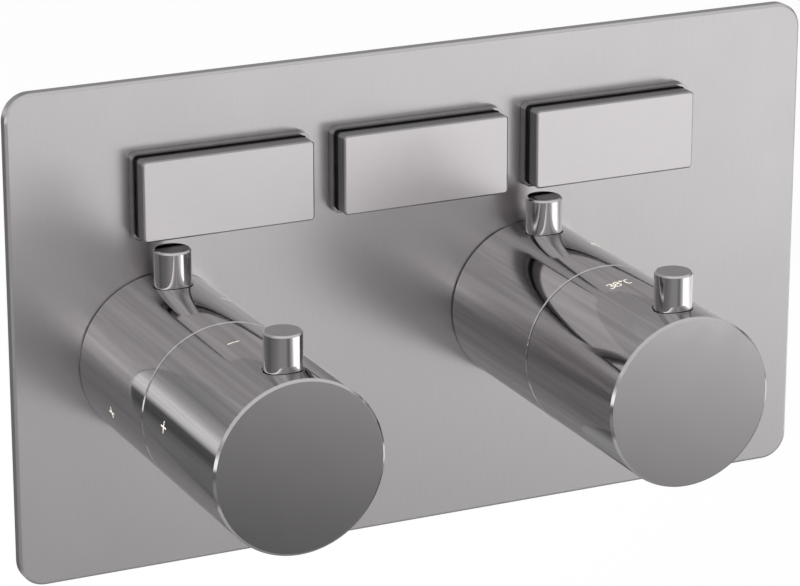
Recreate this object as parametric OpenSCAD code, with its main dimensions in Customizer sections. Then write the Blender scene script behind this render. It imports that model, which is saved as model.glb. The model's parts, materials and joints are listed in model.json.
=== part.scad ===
// Concealed thermostatic shower valve with three push buttons and two concentric controls.
// X runs to the right, Y into the wall and Z up. The origin is the centre of the cover plate
// on the plane of the finished wall, so the trim has negative Y and the in-wall body positive Y.
// Shapes are drawn in the frame of the wall: x to the right, y up, z out of the wall.

/* [Cover plate] */
// Width of the cover plate
plate_w = 260; // [240:1:310]
// Height of the cover plate
plate_h = 150; // [125:1:180]
// Thickness of the cover plate
plate_t = 3.6; // [3:0.1:5]
// Corner radius of the cover plate
plate_corner_r = 8; // [3:0.5:14]
// Bevel round the plate's front edge
plate_bevel = 0.7; // [0.3:0.1:1.2]
// Width of the gasket as a share of the plate's height
gasket_share = 0.038; // [0.03:0.001:0.042]
// Thickness of the foam gasket
gasket_t = 1.6; // [1:0.1:2]
// How far the gasket stands behind the plate, against the wall
gasket_proud = 0.4; // [0.2:0.1:0.8]
// Margin from the plate's edge to the gasket
gasket_margin = 3; // [2:0.5:4]

/* [Push buttons] */
// Height of the button row above the plate's centre
button_z = 41.3; // [40:0.1:43]
// Place of the button row's middle as a share of the plate's width
button_row_share = -0.0085; // [-0.012:0.0005:0.004]
// Distance from one button to the next as a share of the plate's width
button_step_share = 0.2431; // [0.241:0.0005:0.25]
// Space between two button caps
button_space = 9.6; // [8.5:0.1:13]
// Height of a button's chrome cap
cap_h = 24.2; // [23:0.1:26]
// Depth of the chrome cap from front to back
cap_t = 4.7; // [4:0.1:6]
// Corner radius of the cap
cap_corner_r = 1.2; // [0.8:0.1:2]
// Bevel round the cap's front edge
cap_bevel = 0.5; // [0.3:0.1:0.7]
// Visible height of the black skirt between cap and bezel at rest
skirt_show = 1.5; // [1:0.1:2.5]
// Wall of the black skirt
skirt_wall = 1.8; // [1.4:0.1:2.5]
// Depth of the black skirt
skirt_depth = 8; // [6:0.5:9]
// Travel of a button when it is pressed
button_travel = 3; // [2:0.1:3.5]
// How far the bezel stands in front of the plate
bezel_proud = 3; // [2:0.1:4]
// Wall of the bezel
bezel_wall = 0.85; // [0.7:0.05:1.2]
// Lip that holds the bezel behind the plate
bezel_lip = 1.1; // [0.8:0.1:1.5]
// Thickness of the bezel's lip
bezel_lip_t = 1.2; // [0.8:0.1:1.6]
// Sliding gap between a button and its bezel
button_gap = 0.15; // [0.1:0.05:0.3]

/* [Controls] */
// Distance from the plate's left edge to the left control's axis
control_edge = 45.5; // [44.5:0.5:50]
// Distance between the two controls as a share of the plate's width
control_share = 0.4627; // [0.455:0.001:0.47]
// Height of both controls' axes, from the plate's centre
control_z = -8.6; // [-10:0.1:-8]
// Diameter of the rings and handles
knob_d = 50.8; // [48:0.1:54]
// Distance from the plate's front to the handles' front faces
knob_reach = 102; // [98:1:110]
// Distance from the plate's front to the seam between ring and handle
ring_reach = 50; // [46:1:54]
// Gap between ring and handle
seam_gap = 0.5; // [0.3:0.1:1]
// Gap between the plate and the rings
ring_back_gap = 0.4; // [0.3:0.1:1]
// Wall of the rings and handles
knob_wall = 4.4; // [4:0.1:5]
// Bevel on the handles' front rim
rim_bevel = 0.7; // [0.4:0.1:1.2]
// Small bevel at the seam and at the back rim
seam_bevel = 0.3; // [0.2:0.05:0.5]
// Thickness of the handle's front wall
front_wall = 17; // [16:0.5:22]
// Thickness of the web that carries the ring on its limit sleeve
ring_web = 10; // [8:0.5:14]
// Distance from the ring's web to the seam
ring_web_inset = 6; // [4:0.5:10]
// Diameter of the handle's hub
hub_d = 20; // [18:0.5:24]
// Length of the handle's hub behind its front wall
hub_len = 22; // [16:0.5:24]
// Depth of the spindle's seat in the handle's front wall
spindle_seat = 8; // [5:0.5:12]

/* [Levers] */
// Diameter of the lever pins on the rings and handles
lever_d = 11; // [9:0.1:11.5]
// Height of the lever pins above the knob
lever_h = 10.6; // [8:0.1:16]
// Bevel at both ends of a lever pin
lever_bevel = 0.5; // [0.3:0.1:1]
// Distance from the plate to the rear levers' axes
rear_lever_reach = 11.1; // [9:0.1:14]
// Distance from the front faces to the front levers' axes
front_lever_inset = 11.2; // [9:0.1:13]
// Depth of the flat-floored recess under a lever pin, from the knob's top
lever_recess = 1.9; // [1.5:0.1:2.2]
// Gap round a lever pin in its recess
lever_gap = 0.4; // [0.3:0.05:0.6]
// Diameter of a lever pin's stud
lever_stud_d = 5; // [4:0.5:6]
// Diameter of the grub screws under the rings and handles
grub_d = 5; // [4:0.5:6]
// Length of the grub screws
grub_len = 10; // [6:0.5:12]

/* [Cartridges] */
// Outer diameter of the control pockets in the body
pocket_d = 42; // [41:0.5:43]
// Bore of the pockets' mouths, for the retaining nuts
mouth_d = 37; // [36:0.5:38]
// Bore of the pockets, for the cartridges
pocket_bore_d = 33; // [32:0.5:34]
// Depth of the pockets' mouths
mouth_depth = 9; // [8:0.5:9.5]
// Depth of the pockets from their mouths
pocket_depth = 43; // [42.5:0.5:44]
// Floor behind the pockets
pocket_floor = 4; // [3:0.5:4.5]
// Distance from the wall plane back to the pockets' mouths
mouth_set = 8; // [7.5:0.5:9]
// Outer diameter of the cartridges' necks
cart_neck_d = 28; // [27:0.5:29]
// Distance from the wall plane out to the necks' front ends
cart_neck_reach = 18; // [14:1:20]
// Diameter of the cartridges' inner bore
cart_bore_d = 24; // [23:0.5:25]
// Diameter of the limit sleeves that carry the rings
sleeve_d = 19; // [18:0.5:20]
// Diameter of the spindles
spindle_d = 11; // [10:0.5:12]
// Flat-to-flat width of the limit sleeves' drive ends
sleeve_flats = 17; // [16:0.5:17.5]
// Flat-to-flat width of the spindles' drive ends
spindle_flats = 9; // [8:0.5:9.5]
// Running gap of spindles, bushes and slides, on the radius
running_gap = 0.05; // [0.03:0.01:0.08]
// Seating gap between faces that move past each other
seat_gap = 0.3; // [0.2:0.05:0.4]
// Thickness of the flange on a spindle or limit sleeve
flange_t = 3.7; // [3:0.1:4]
// Thickness of a ceramic disc
disc_t = 4; // [3:0.1:4.5]
// Thickness of the rubber seal under the ceramic discs
seal_t = 3.6; // [2:0.1:4]
// Outer diameter of the neck sleeve on a retaining nut
neck_d = 36; // [35:0.5:36.5]
// Distance from the wall plane out to the neck sleeve's front end
neck_reach = 24; // [20:1:28]
// Flat-to-flat width of the retaining nuts
nut_flats = 38; // [37.5:0.5:39]
// Thickness of the retaining nuts' hexagon
nut_t = 4; // [3:0.5:4.5]
// Length of the plastic bushes that the rings turn on
bush_len = 9; // [6:0.5:12]

/* [Thermostat] */
// Length of the setting nut
setting_len = 13; // [12:0.5:14]
// Outer diameter of the setting nut
setting_d = 22; // [20.5:0.5:22.5]
// Inner diameter of the setting nut's cup
setting_bore_d = 18.4; // [17.5:0.1:18.8]
// Thickness of the setting nut's front wall
setting_wall = 3; // [2:0.5:4]
// Diameter of the wax element's collar
wax_collar_d = 17.6; // [16:0.1:17.6]
// Thickness of the wax element's collar
wax_collar_t = 2.5; // [2:0.5:3]
// Diameter of the wax element's bulb
wax_bulb_d = 9; // [8:0.5:10]
// Diameter of the wax element's pin
wax_pin_d = 4; // [3:0.5:5]
// Length of the hot and cold shuttle
shuttle_len = 8; // [6:0.5:9]
// Wall of the shuttle
shuttle_wall = 2; // [1.5:0.1:2.4]
// Thickness of the shuttle's spokes
spoke_t = 2; // [1.5:0.1:3]
// Gap from the setting nut to the shuttle
shuttle_space = 2; // [1:0.5:3]
// Length of the return spring behind the shuttle
return_spring_len = 10; // [9:0.5:11]

/* [Push valves] */
// Outer diameter of the push valves' pockets in the body
push_pocket_d = 25.5; // [25:0.1:25.8]
// Bore of the push valves' pockets
push_bore_d = 20; // [19.5:0.1:20.4]
// Distance from the wall plane back to the mouths of the push valves' pockets
push_mouth_set = 10; // [9.5:0.5:11]
// Depth of the push valves' pockets
push_pocket_depth = 30; // [29.5:0.5:31]
// Flat-to-flat width of the push valves' hexagons
push_flats = 25; // [24:0.5:25.5]
// Thickness of the push valves' hexagons
push_hex_t = 5; // [4:0.5:5.5]
// Bore of the chamber in a push valve
push_chamber_d = 15.5; // [15.2:0.1:16]
// Diameter of the push rods
rod_d = 6; // [5:0.5:6.5]
// Diameter of the push rods' spring flange
rod_flange_d = 14.6; // [14:0.1:15]
// Thickness of the push rods' spring flange
rod_flange_t = 2; // [1.5:0.5:3]
// Diameter of the valve head at a push rod's end
rod_head_d = 10.4; // [9.8:0.1:10.6]
// Thickness of the valve head
rod_head_t = 3; // [2:0.5:4]
// Bore of a push valve's seat
push_seat_d = 9; // [7:0.5:9.5]

/* [Body and connections] */
// Distance of the inlets' axes behind the wall plane
inlet_set = 29; // [28.5:0.5:30]
// Distance of the outlets' axes behind the wall plane
outlet_set = 28; // [27.5:0.5:28.5]
// Outer diameter of the connections
port_d = 26; // [25:0.5:26.5]
// Wall diameter of the half-inch threads, at their crests
thread_d = 18.6; // [18.4:0.1:19]
// Distance between the two inlets as a share of the wall box's width
inlet_share = 0.3836; // [0.37:0.001:0.388]
// Distance from the buttons' height up to the outlets' faces
outlet_rise = 20.5; // [20.3:0.1:21]
// Depth of the outlets' threads
outlet_thread_depth = 10; // [9:0.5:10]
// Depth of the inlets' threads
thread_depth = 15; // [13:0.5:16]
// Bore of the outlets behind their threads
outlet_bore_d = 12; // [10:0.5:14]
// Depth of the inlets' faces below the plate's centre
inlet_face_z = 70; // [68:0.5:73]
// Bore of the inlets behind the check valves
inlet_bore_d = 15; // [14.5:0.5:15.5]
// Height of the manifold's axis above the controls' axes
manifold_rise = 25.6; // [25:0.1:26.5]
// Distance of the manifold's axis behind the wall plane
manifold_set = 31; // [30:0.5:32]
// Outer diameter of the manifold
manifold_d = 20; // [19:0.5:21]
// Bore of the manifold
manifold_bore_d = 12; // [10:0.5:12.5]
// Distance of the mixed water channel behind the wall plane
mixed_set = 46; // [45.5:0.5:46.5]
// Outer diameter of the mixed water channel
mixed_d = 15; // [14.5:0.5:15.5]
// Bore of the mixed water channel
mixed_bore_d = 8; // [7:0.5:8.5]
// Distance of the hot seat behind the wall plane
hot_set = 33.5; // [33:0.5:34]
// Distance of the cold seat, and of the flow cartridge's outlet, behind the wall plane
cold_set = 24.5; // [24.3:0.1:25]
// Outer diameter of the hot and cold channels' common bar
supply_d = 21; // [20.5:0.5:22]
// Bore of the hot and the cold channel
supply_bore_d = 5; // [4:0.5:5.5]
// Bore from the flow cartridge to the manifold
exit_bore_d = 9; // [8:0.5:9.5]
// Thickness of the body's lugs
lug_t = 5; // [4:0.5:5.5]
// Diameter of the body's lugs
lug_d = 14; // [12:0.5:15]
// Reach of a lug from the axis of its pocket
lug_reach = 32; // [31:0.5:34]

/* [Check valves] */
// Outer diameter of a check valve
check_d = 17; // [16.5:0.1:17.5]
// Length of a check valve
check_len = 18; // [16:0.5:20]
// Wall of a check valve
check_wall = 2; // [1.5:0.1:2.3]
// Bore of a check valve's seat
check_seat_d = 8; // [7:0.5:9]
// Diameter of a check valve's poppet
poppet_d = 10.4; // [10:0.1:11]
// Opening travel of a poppet
poppet_travel = 3; // [2:0.1:4]
// Thickness of a strainer
strainer_t = 1.6; // [1.2:0.1:2]

/* [Wall box] */
// Margin of the cover plate beyond the wall box at each side
box_margin = 20.5; // [19:0.5:21.5]
// Outer height of the wall box
box_h = 120; // [119:1:122]
// Distance from the wall plane back to the wall box's mouth
box_set = 1.5; // [1:0.1:2]
// Depth of the wall box behind the wall plane
box_depth = 58; // [57.5:0.5:60]
// Height of the wall box's centre
box_z = -3; // [-3.5:0.1:-2.5]
// Corner radius of the wall box
box_corner_r = 10; // [7:0.5:12]
// Wall of the wall box
box_wall = 2.5; // [2:0.1:2.8]
// Thickness of the wall box's floor
box_floor = 3; // [2.5:0.1:3.4]
// Width of the flange round the wall box's mouth
box_flange = 5; // [4:0.5:8]
// Thickness of that flange
box_flange_t = 2; // [1.5:0.1:3]
// Distance from the box's sides to the holes that fix it to the wall
fix_inset = 11.5; // [10.5:0.5:13]
// Vertical distance between those holes
fix_dz = 94; // [92:1:96]
// Diameter of the holes that fix the box to the wall
fix_hole_d = 5.5; // [4.5:0.1:6]
// Depth of the panels pressed into the box's back
panel_depth = 1.2; // [0.6:0.1:1.6]
// Width of the ribs between those panels
panel_rib = 4; // [3:0.5:6]
// Number of panels in a row
panel_columns = 4; // [3:1:6]
// How far the ribs under the box's flange stand out
rib_proud = 3; // [2:0.5:3.5]
// Thickness of those ribs
rib_t = 2; // [1.5:0.5:3]
// How far those ribs reach back as a share of the box's depth
rib_share = 0.75; // [0.4:0.05:0.8]
// Thickness of the steel frame that carries the cover plate
frame_t = 1.5; // [1:0.1:2]
// Distance of that frame's front behind the wall plane
frame_set = 4; // [3.8:0.1:4.5]
// Distance from the box's sides to its posts
post_inset = 8.5; // [8:0.5:9.5]
// Height of the upper posts
post_top_z = 22; // [20:0.5:28]
// Depth of the lower posts below the plate's centre
post_low_z = 38; // [36:0.5:39]
// Diameter of the posts
post_d = 9; // [8:0.5:9.5]
// Distance from the box's sides to the cover plate's studs
stud_inset = 9.5; // [8.5:0.5:10.5]
// Height of the upper studs
stud_top_z = 46; // [44:0.5:48]
// Depth of the lower studs below the plate's centre
stud_low_z = 54; // [52:0.5:55]
// Diameter of the cover plate's studs
stud_d = 5; // [4:0.5:5.5]
// Diameter of the rubber grips that hold the studs
grip_d = 9; // [8:0.5:10]
// Thread diameter of the fixing screws
screw_d = 4; // [3.5:0.5:4.5]
// Head diameter of the fixing screws
screw_head_d = 7; // [6.5:0.5:7.5]
// Head height of the fixing screws
screw_head_h = 2; // [1.5:0.1:2.4]
// Length of the fixing screws below their heads
screw_len = 12; // [10:0.5:13]

/* [Hidden] */
$fn = 64;
// Overrun of every cut past the face that it leaves
cut = 1;

// Places along the way out of the wall
plate_front = gasket_proud + plate_t;
box_w = plate_w - 2 * box_margin;
left_x = control_edge - plate_w / 2;
right_x = left_x + plate_w * control_share;
button_row_x = plate_w * button_row_share;
button_step = plate_w * button_step_share;
cap_w = button_step - button_space;
button_left_x = button_row_x - button_step;
button_right_x = button_row_x + button_step;
button_xs = [button_left_x, button_row_x, button_right_x];
ring_back = plate_front + ring_back_gap;
ring_front = plate_front + ring_reach - seam_gap / 2;
handle_back = plate_front + ring_reach + seam_gap / 2;
handle_front = plate_front + knob_reach;
knob_r = knob_d / 2;
knob_bore_d = knob_d - 2 * knob_wall;
lever_stud_len = knob_wall - lever_recess - seat_gap;
lever_stud_low = knob_r - lever_recess - lever_stud_len;
web_front = ring_front - ring_web_inset;
web_back = web_front - ring_web;
hub_back = handle_front - front_wall - hub_len;

// Push buttons
bezel_open_w = cap_w + 2 * button_gap;
bezel_open_h = cap_h + 2 * button_gap;
bezel_w = bezel_open_w + 2 * bezel_wall;
bezel_h = bezel_open_h + 2 * bezel_wall;
bezel_corner_r = cap_corner_r + bezel_wall;
bezel_front = plate_front + bezel_proud;
cap_back = bezel_front + skirt_show;
skirt_back = cap_back - skirt_depth;
push_mouth = -push_mouth_set;
push_front = push_mouth + push_hex_t;
push_feed_d = 5;
push_feed_set = push_mouth_set + push_pocket_depth - push_feed_d * 0.7;
push_back = push_mouth - push_pocket_depth + push_feed_d * 0.9;
push_seat_t = 2;
push_seat = push_back + push_seat_t;
push_front_wall = 7;
push_chamber_front = push_front - push_front_wall;
rod_tip = push_seat + button_travel + seat_gap;
rod_flange_front = push_chamber_front - seat_gap;
push_wire_d = 1.1;
push_coil_r = (push_chamber_d + rod_head_d) / 4;
push_curls = 6;

// Controls
neck_seal_w = 1.5;
neck_hole_d = neck_d + 2 * neck_seal_w;
mouth = -mouth_set;
step = mouth - mouth_depth;
pocket_end = mouth - pocket_depth;
cart_d = pocket_bore_d - 2 * running_gap;
cart_flange_t = 2;
flow_front_wall = 34;
thermo_front_wall = 21;
flow_shoulder = cart_neck_reach - flow_front_wall;
thermo_shoulder = cart_neck_reach - thermo_front_wall;
flange_d = cart_bore_d - 2 * seat_gap;
flow_chamber_t = 5.7;
drive_front = flow_shoulder - seat_gap - flange_t - flow_chamber_t;
drive_back = drive_front - flange_t;
moving_disc_back = drive_back - disc_t;
fixed_disc_back = moving_disc_back - disc_t;
seal_back = fixed_disc_back - seal_t;
spindle_front = handle_front - front_wall + spindle_seat;
seal_bore_d = 14;

// Thermostat, from the front to the back of its cartridge
setting_space = 2;
setting_front = thermo_shoulder - seat_gap - flange_t - setting_space;
setting_back = setting_front - setting_len;
thermo_spindle_back = setting_front - setting_wall - seat_gap;
wax_collar_front = setting_back + wax_collar_t;
shuttle_front = setting_back - shuttle_space;
shuttle_back = shuttle_front - shuttle_len;
return_back = shuttle_back - return_spring_len;
shuttle_d = cart_bore_d - 2 * running_gap;
wax_tail_gap = 2.2;
wax_back = return_back + wax_tail_gap;
overload_wire_d = 1.2;
overload_coil_r = (setting_bore_d + spindle_d) / 4;
overload_curls = 3;
return_wire_d = 1.2;
return_coil_r = (shuttle_d - shuttle_wall) / 2;
return_curls = 4;

// Body and box: distances, walls and the places of screws and studs
inlet_gap = box_w * inlet_share;
hot_x = right_x - inlet_gap / 2;
cold_x = right_x + inlet_gap / 2;
outlet_face_z = button_z + outlet_rise;
manifold_z = control_z + manifold_rise;
channel_wall = 3.5;
lug_back = -manifold_set - manifold_d * 0.6;
lug_start = (pocket_bore_d + pocket_d) / 4;
check_low = -inlet_face_z + thread_depth + strainer_t;
check_top = check_low + check_len;
frame_back = -frame_set - frame_t;
grip_lip_t = 1.4;
stud_tip = frame_back - grip_lip_t - stud_d / 4;
grommet_t = 2.4;
ring_cord_d = 2;
upper_lug_xs = [(button_left_x + button_row_x) / 2, (button_row_x + button_right_x) / 2];
upper_lug_drop = 7.5;
upper_lug_z = button_z - upper_lug_drop;
flow_lug_turn = -45;
thermo_lug_turn = -90;
lug_places = [
    [left_x + lug_reach * cos(flow_lug_turn), control_z + lug_reach * sin(flow_lug_turn)],
    [right_x + lug_reach * cos(thermo_lug_turn), control_z + lug_reach * sin(thermo_lug_turn)],
    [upper_lug_xs[0], upper_lug_z],
    [upper_lug_xs[1], upper_lug_z]];
post_places = [
    [post_inset - box_w / 2, post_top_z], [box_w / 2 - post_inset, post_top_z],
    [post_inset - box_w / 2, -post_low_z], [box_w / 2 - post_inset, -post_low_z]];
stud_places = [
    [stud_inset - box_w / 2, stud_top_z], [box_w / 2 - stud_inset, stud_top_z],
    [stud_inset - box_w / 2, -stud_low_z], [box_w / 2 - stud_inset, -stud_low_z]];
fix_x = box_w / 2 - fix_inset;
fix_places = [
    [-fix_x, box_z + fix_dz / 2], [fix_x, box_z + fix_dz / 2],
    [-fix_x, box_z - fix_dz / 2], [fix_x, box_z - fix_dz / 2]];

chrome = [0.80, 0.81, 0.83];
brass = [0.74, 0.60, 0.34];
steel = [0.66, 0.67, 0.69];
black = [0.05, 0.05, 0.06];
plastic = [0.86, 0.86, 0.84];
orange = [0.82, 0.45, 0.18];
ceramic = [0.93, 0.92, 0.90];
box_blue = [0.20, 0.33, 0.52];

// Turns the wall's frame upright: its z becomes the way out of the wall
module wall() {
    rotate([90, 0, 0]) children();
}

// A cylinder between two places along the way out of the wall
module drum(x, z, d, low, high) {
    translate([x, z, low]) cylinder(d = d, h = high - low);
}

// A hexagon between two places, with a corner at an angle from the right
module hex_bar(x, z, flats, turn, low, high) {
    translate([x, z, low]) rotate(turn) cylinder(d = flats / cos(30), h = high - low, $fn = 6);
}

// A rectangle with true round corners
module rounded(w, h, r) {
    square([w - 2 * r, h], center = true);
    square([w, h - 2 * r], center = true);
    for (x = [-1, 1], y = [-1, 1])
        translate([x * (w / 2 - r), y * (h / 2 - r)]) circle(r = r);
}

// A block with round corners between two places
module block(x, z, w, h, r, low, high) {
    translate([x, z, low]) linear_extrude(high - low) rounded(w, h, r);
}

// A block with round corners and a bevelled front edge
module bevel_block(x, z, w, h, r, bevel, low, high) {
    t = high - low;
    translate([x, z, low]) {
        rotate([90, 0, 90]) linear_extrude(w - 2 * r, center = true) bevel_section(h, t, bevel);
        rotate([90, 0, 0]) linear_extrude(h - 2 * r, center = true) bevel_section(w, t, bevel);
        for (cx = [-1, 1], cy = [-1, 1])
            translate([cx * (w / 2 - r), cy * (h / 2 - r), 0]) {
                cylinder(r = r, h = t - bevel);
                translate([0, 0, t - bevel]) cylinder(r1 = r, r2 = r - bevel, h = bevel);
            }
    }
}

// Cross-section of a bevelled block
module bevel_section(w, t, bevel) {
    polygon([[-w / 2, 0], [w / 2, 0], [w / 2, t - bevel], [w / 2 - bevel, t],
        [bevel - w / 2, t], [-w / 2, t - bevel]]);
}

// A round bar with a bevel at its low and at its high end
module bevel_drum(x, z, d, low_bevel, high_bevel, low, high) {
    translate([x, z, 0]) rotate_extrude()
        polygon([[0, low], [d / 2 - low_bevel, low], [d / 2, low + low_bevel],
            [d / 2, high - high_bevel], [d / 2 - high_bevel, high], [0, high]]);
}

// A round bar with two flats, between two places
module flat_bar(x, z, d, flats, low, high) {
    translate([x, z, low]) intersection() {
        cylinder(d = d, h = high - low);
        translate([-flats / 2, -d, 0]) cube([flats, 2 * d, high - low]);
    }
}

// Rings of radial holes through a cartridge's wall at one place
module windows(x, z, d, reach, place, count) {
    for (i = [0 : count - 1])
        translate([x, z, place]) rotate([0, 90, i * 360 / count]) cylinder(d = d, h = reach);
}

// A groove turned in the outside of a round piece
module groove(x, z, d, depth, low, high) {
    translate([x, z, low]) difference() {
        cylinder(d = d + 2 * depth, h = high - low);
        translate([0, 0, -cut]) cylinder(d = d - 2 * depth, h = high - low + 2 * cut);
    }
}

// A round cord ring that lies on the inside of a bore
module cord_ring(x, z, bore, cord, place) {
    translate([x, z, place]) rotate_extrude() translate([bore / 2 - cord / 2, 0]) circle(d = cord, $fn = 24);
}

// Points of a compression spring's wire: straight ends of one wire diameter, even curls between
function coil_path(r, wire, curls, length) =
    let (rings = 8 * curls, rise = (length - 2 * wire) / rings)
    concat(
        [[r, 0, 0]],
        [for (i = [0 : rings]) [r * cos(45 * i), r * sin(45 * i), wire + rise * i]],
        [[r, 0, length]]);

// Least clear distance between neighbouring curls
function coil_gap(path, wire) =
    min([for (i = [1 : len(path) - 10]) norm(path[i + 8] - path[i])]) - wire;

// Swept tube with six sides along a spring's wire
module coil(r, wire, curls, length, label) {
    path = coil_path(r, wire, curls, length);
    last = len(path) - 1;
    sides = 6;
    echo(str("Least gap between curls of the ", label, ": "), coil_gap(path, wire));
    points = [for (i = [0 : last])
        let (
            before = path[max(i - 1, 0)],
            after = path[min(i + 1, last)],
            way = (after - before) / norm(after - before),
            out = [path[i].x, path[i].y, 0] / norm([path[i].x, path[i].y, 0]),
            over = cross(way, out))
        for (s = [0 : sides - 1])
            path[i] + wire / 2 * (cos(360 * s / sides) * out + sin(360 * s / sides) * over)];
    walls = [for (i = [0 : last - 1], s = [0 : sides - 1])
        let (a = i * sides + s, b = i * sides + (s + 1) % sides)
        each [[a, a + sides, b], [b, a + sides, b + sides]]];
    low_end = [for (s = [1 : sides - 2]) [0, s, s + 1]];
    high_end = [for (s = [1 : sides - 2]) [last * sides, last * sides + s + 1, last * sides + s]];
    polyhedron(points, concat(walls, low_end, high_end));
}

// Cover plate
module cover_plate() color(chrome) wall() difference() {
    union() {
        bevel_block(0, 0, plate_w, plate_h, plate_corner_r, plate_bevel, gasket_proud, plate_front);
        for (p = stud_places)
            bevel_drum(p.x, p.y, stud_d, stud_d / 5, 0, stud_tip, gasket_proud + cut);
    }
    for (x = [left_x, right_x]) drum(x, control_z, neck_hole_d, gasket_proud - cut, plate_front + cut);
    for (x = button_xs)
        block(x, button_z, bezel_w, bezel_h, bezel_corner_r, gasket_proud - cut, plate_front + cut);
    gasket_ring(gasket_proud - cut, gasket_t);
}
gasket_outer_w = plate_w - 2 * gasket_margin;
gasket_outer_h = plate_h - 2 * gasket_margin;
gasket_outer_r = plate_corner_r - gasket_margin / 2;
gasket_w = plate_h * gasket_share;

// The ring that the gasket fills, between two places
module gasket_ring(low, high) {
    difference() {
        block(0, 0, gasket_outer_w, gasket_outer_h, gasket_outer_r, low, high);
        block(0, 0, gasket_outer_w - 2 * gasket_w, gasket_outer_h - 2 * gasket_w,
            gasket_outer_r / 2, low - cut, high + cut);
    }
}

module plate_gasket() color(black) wall() gasket_ring(0, gasket_t);

// Push button bezel: a thin frame through the plate, held by a lip behind it
module button_bezel(x) color(chrome) wall() difference() {
    union() {
        block(x, button_z, bezel_w, bezel_h, bezel_corner_r, gasket_proud - bezel_lip_t, bezel_front);
        block(x, button_z, bezel_w + 2 * bezel_lip, bezel_h + 2 * bezel_lip,
            bezel_corner_r + bezel_lip, gasket_proud - bezel_lip_t, gasket_proud);
    }
    block(x, button_z, bezel_open_w, bezel_open_h, cap_corner_r + button_gap,
        gasket_proud - bezel_lip_t - cut, bezel_front + cut);
}

// Chrome cap of a push button
module button_cap(x) color(chrome) wall()
    bevel_block(x, button_z, cap_w, cap_h, cap_corner_r, cap_bevel, cap_back, cap_back + cap_t);

// Black skirt that carries the cap and slides in the bezel
skirt_w = cap_w - 2 * button_gap;
skirt_h = cap_h - 2 * button_gap;
boss_wall = 2.5;
boss_d = rod_d + 2 * boss_wall;
boss_len = skirt_depth - skirt_wall;
rod_socket = boss_len - skirt_wall;
module button_skirt(x) color(black) wall() difference() {
    union() {
        difference() {
            block(x, button_z, skirt_w, skirt_h, cap_corner_r, skirt_back, cap_back);
            block(x, button_z, skirt_w - 2 * skirt_wall, skirt_h - 2 * skirt_wall,
                cap_corner_r / 2, skirt_back - cut, cap_back - skirt_wall);
        }
        drum(x, button_z, boss_d, skirt_back, cap_back - skirt_wall);
        for (w = [-1, 1])
            block(x + w * skirt_w / 4, button_z, skirt_wall * 0.7, skirt_h - skirt_wall,
                skirt_wall * 0.3, skirt_back + skirt_wall, cap_back - skirt_wall / 2);
    }
    drum(x, button_z, rod_d, skirt_back - cut, skirt_back + rod_socket);
}

// Push rod with its spring flange and valve head
module push_rod(x) color(steel) wall() {
    bevel_drum(x, button_z, rod_d, 0, rod_d / 10, rod_tip, skirt_back + rod_socket);
    bevel_drum(x, button_z, rod_flange_d, 0, rod_flange_t / 4,
        rod_flange_front - rod_flange_t, rod_flange_front);
    bevel_drum(x, button_z, rod_head_d, rod_head_t / 4, rod_head_t / 4, rod_tip, rod_tip + rod_head_t);
}

module push_springs() color(steel) wall()
    for (x = button_xs)
        translate([x, button_z, push_seat])
            coil(push_coil_r, push_wire_d, push_curls,
                rod_flange_front - rod_flange_t - push_seat, "push springs");

// Push valve: a screwed-in housing with a hexagon, a chamber and a seat
module push_valve(x) color(brass) wall() difference() {
    union() {
        drum(x, button_z, push_bore_d - 2 * running_gap, push_back, push_mouth);
        hex_bar(x, button_z, push_flats, 0, push_mouth, push_front);
    }
    drum(x, button_z, rod_d + 2 * running_gap, push_chamber_front - cut, push_front + cut);
    drum(x, button_z, push_chamber_d, push_seat, push_chamber_front);
    drum(x, button_z, push_seat_d, push_back - cut, push_seat + cut);
    windows(x, button_z, push_window_d, push_bore_d, -outlet_set, 6);
    groove(x, button_z, push_bore_d, push_groove_depth, -outlet_set - push_window_d * 0.6,
        -outlet_set + push_window_d * 0.6);
}
push_window_d = 5;
push_groove_depth = 0.9;

// A turned knob body with true bores: outside, bevels, a cavity behind and an optional web
module knob_shell(x, low, high, high_bevel) {
    difference() {
        bevel_drum(x, control_z, knob_d, seam_bevel, high_bevel, low, high);
        children();
    }
}

// Flat-floored recess and threaded hole for a lever pin
module lever_cut(x, place) {
    translate([x, control_z, place]) rotate([-90, 0, 0]) {
        translate([0, 0, knob_r - lever_recess]) cylinder(d = lever_d + 2 * lever_gap, h = knob_r);
        translate([0, 0, lever_stud_low - seat_gap]) cylinder(d = lever_stud_d, h = knob_r);
    }
}

// Lever pin with its stud
module lever(x, place) {
    translate([x, control_z, place]) rotate([-90, 0, 0]) {
        bevel_drum(0, 0, lever_d, lever_bevel, lever_bevel, knob_r - lever_recess, knob_r + lever_h);
        translate([0, 0, lever_stud_low])
            cylinder(d = lever_stud_d, h = lever_stud_len + lever_bevel);
    }
}

// Ring behind the seam: an open tube with a web that turns the limit sleeve
module control_ring(x) {
    difference() {
        union() {
            knob_shell(x, ring_back, ring_front, seam_bevel) {
                drum(x, control_z, knob_bore_d, ring_back - cut, web_back);
                drum(x, control_z, knob_bore_d, web_front, ring_front + cut);
            }
        }
        flat_bar(x, control_z, sleeve_d, sleeve_flats, web_back - cut, web_front + cut);
        lever_cut(x, rear_lever_place);
        grub_hole(x, ring_grub_place);
    }
}
rear_lever_place = plate_front + rear_lever_reach;
front_lever_place = handle_front - front_lever_inset;

// Handle in front of the seam: a cup with a thick front and a hub for the spindle
module control_handle(x) {
    difference() {
        knob_shell(x, handle_back, handle_front, rim_bevel)
            difference() {
                drum(x, control_z, knob_bore_d, handle_back - cut, handle_front - front_wall);
                drum(x, control_z, hub_d, hub_back, handle_front);
            }
        flat_bar(x, control_z, spindle_d, spindle_flats, hub_back - cut, spindle_front);
        lever_cut(x, front_lever_place);
        grub_hole(x, handle_grub_place);
    }
}
ring_grub_place = web_back + ring_web / 2;
handle_grub_place = handle_front - front_wall * 0.8;

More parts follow.
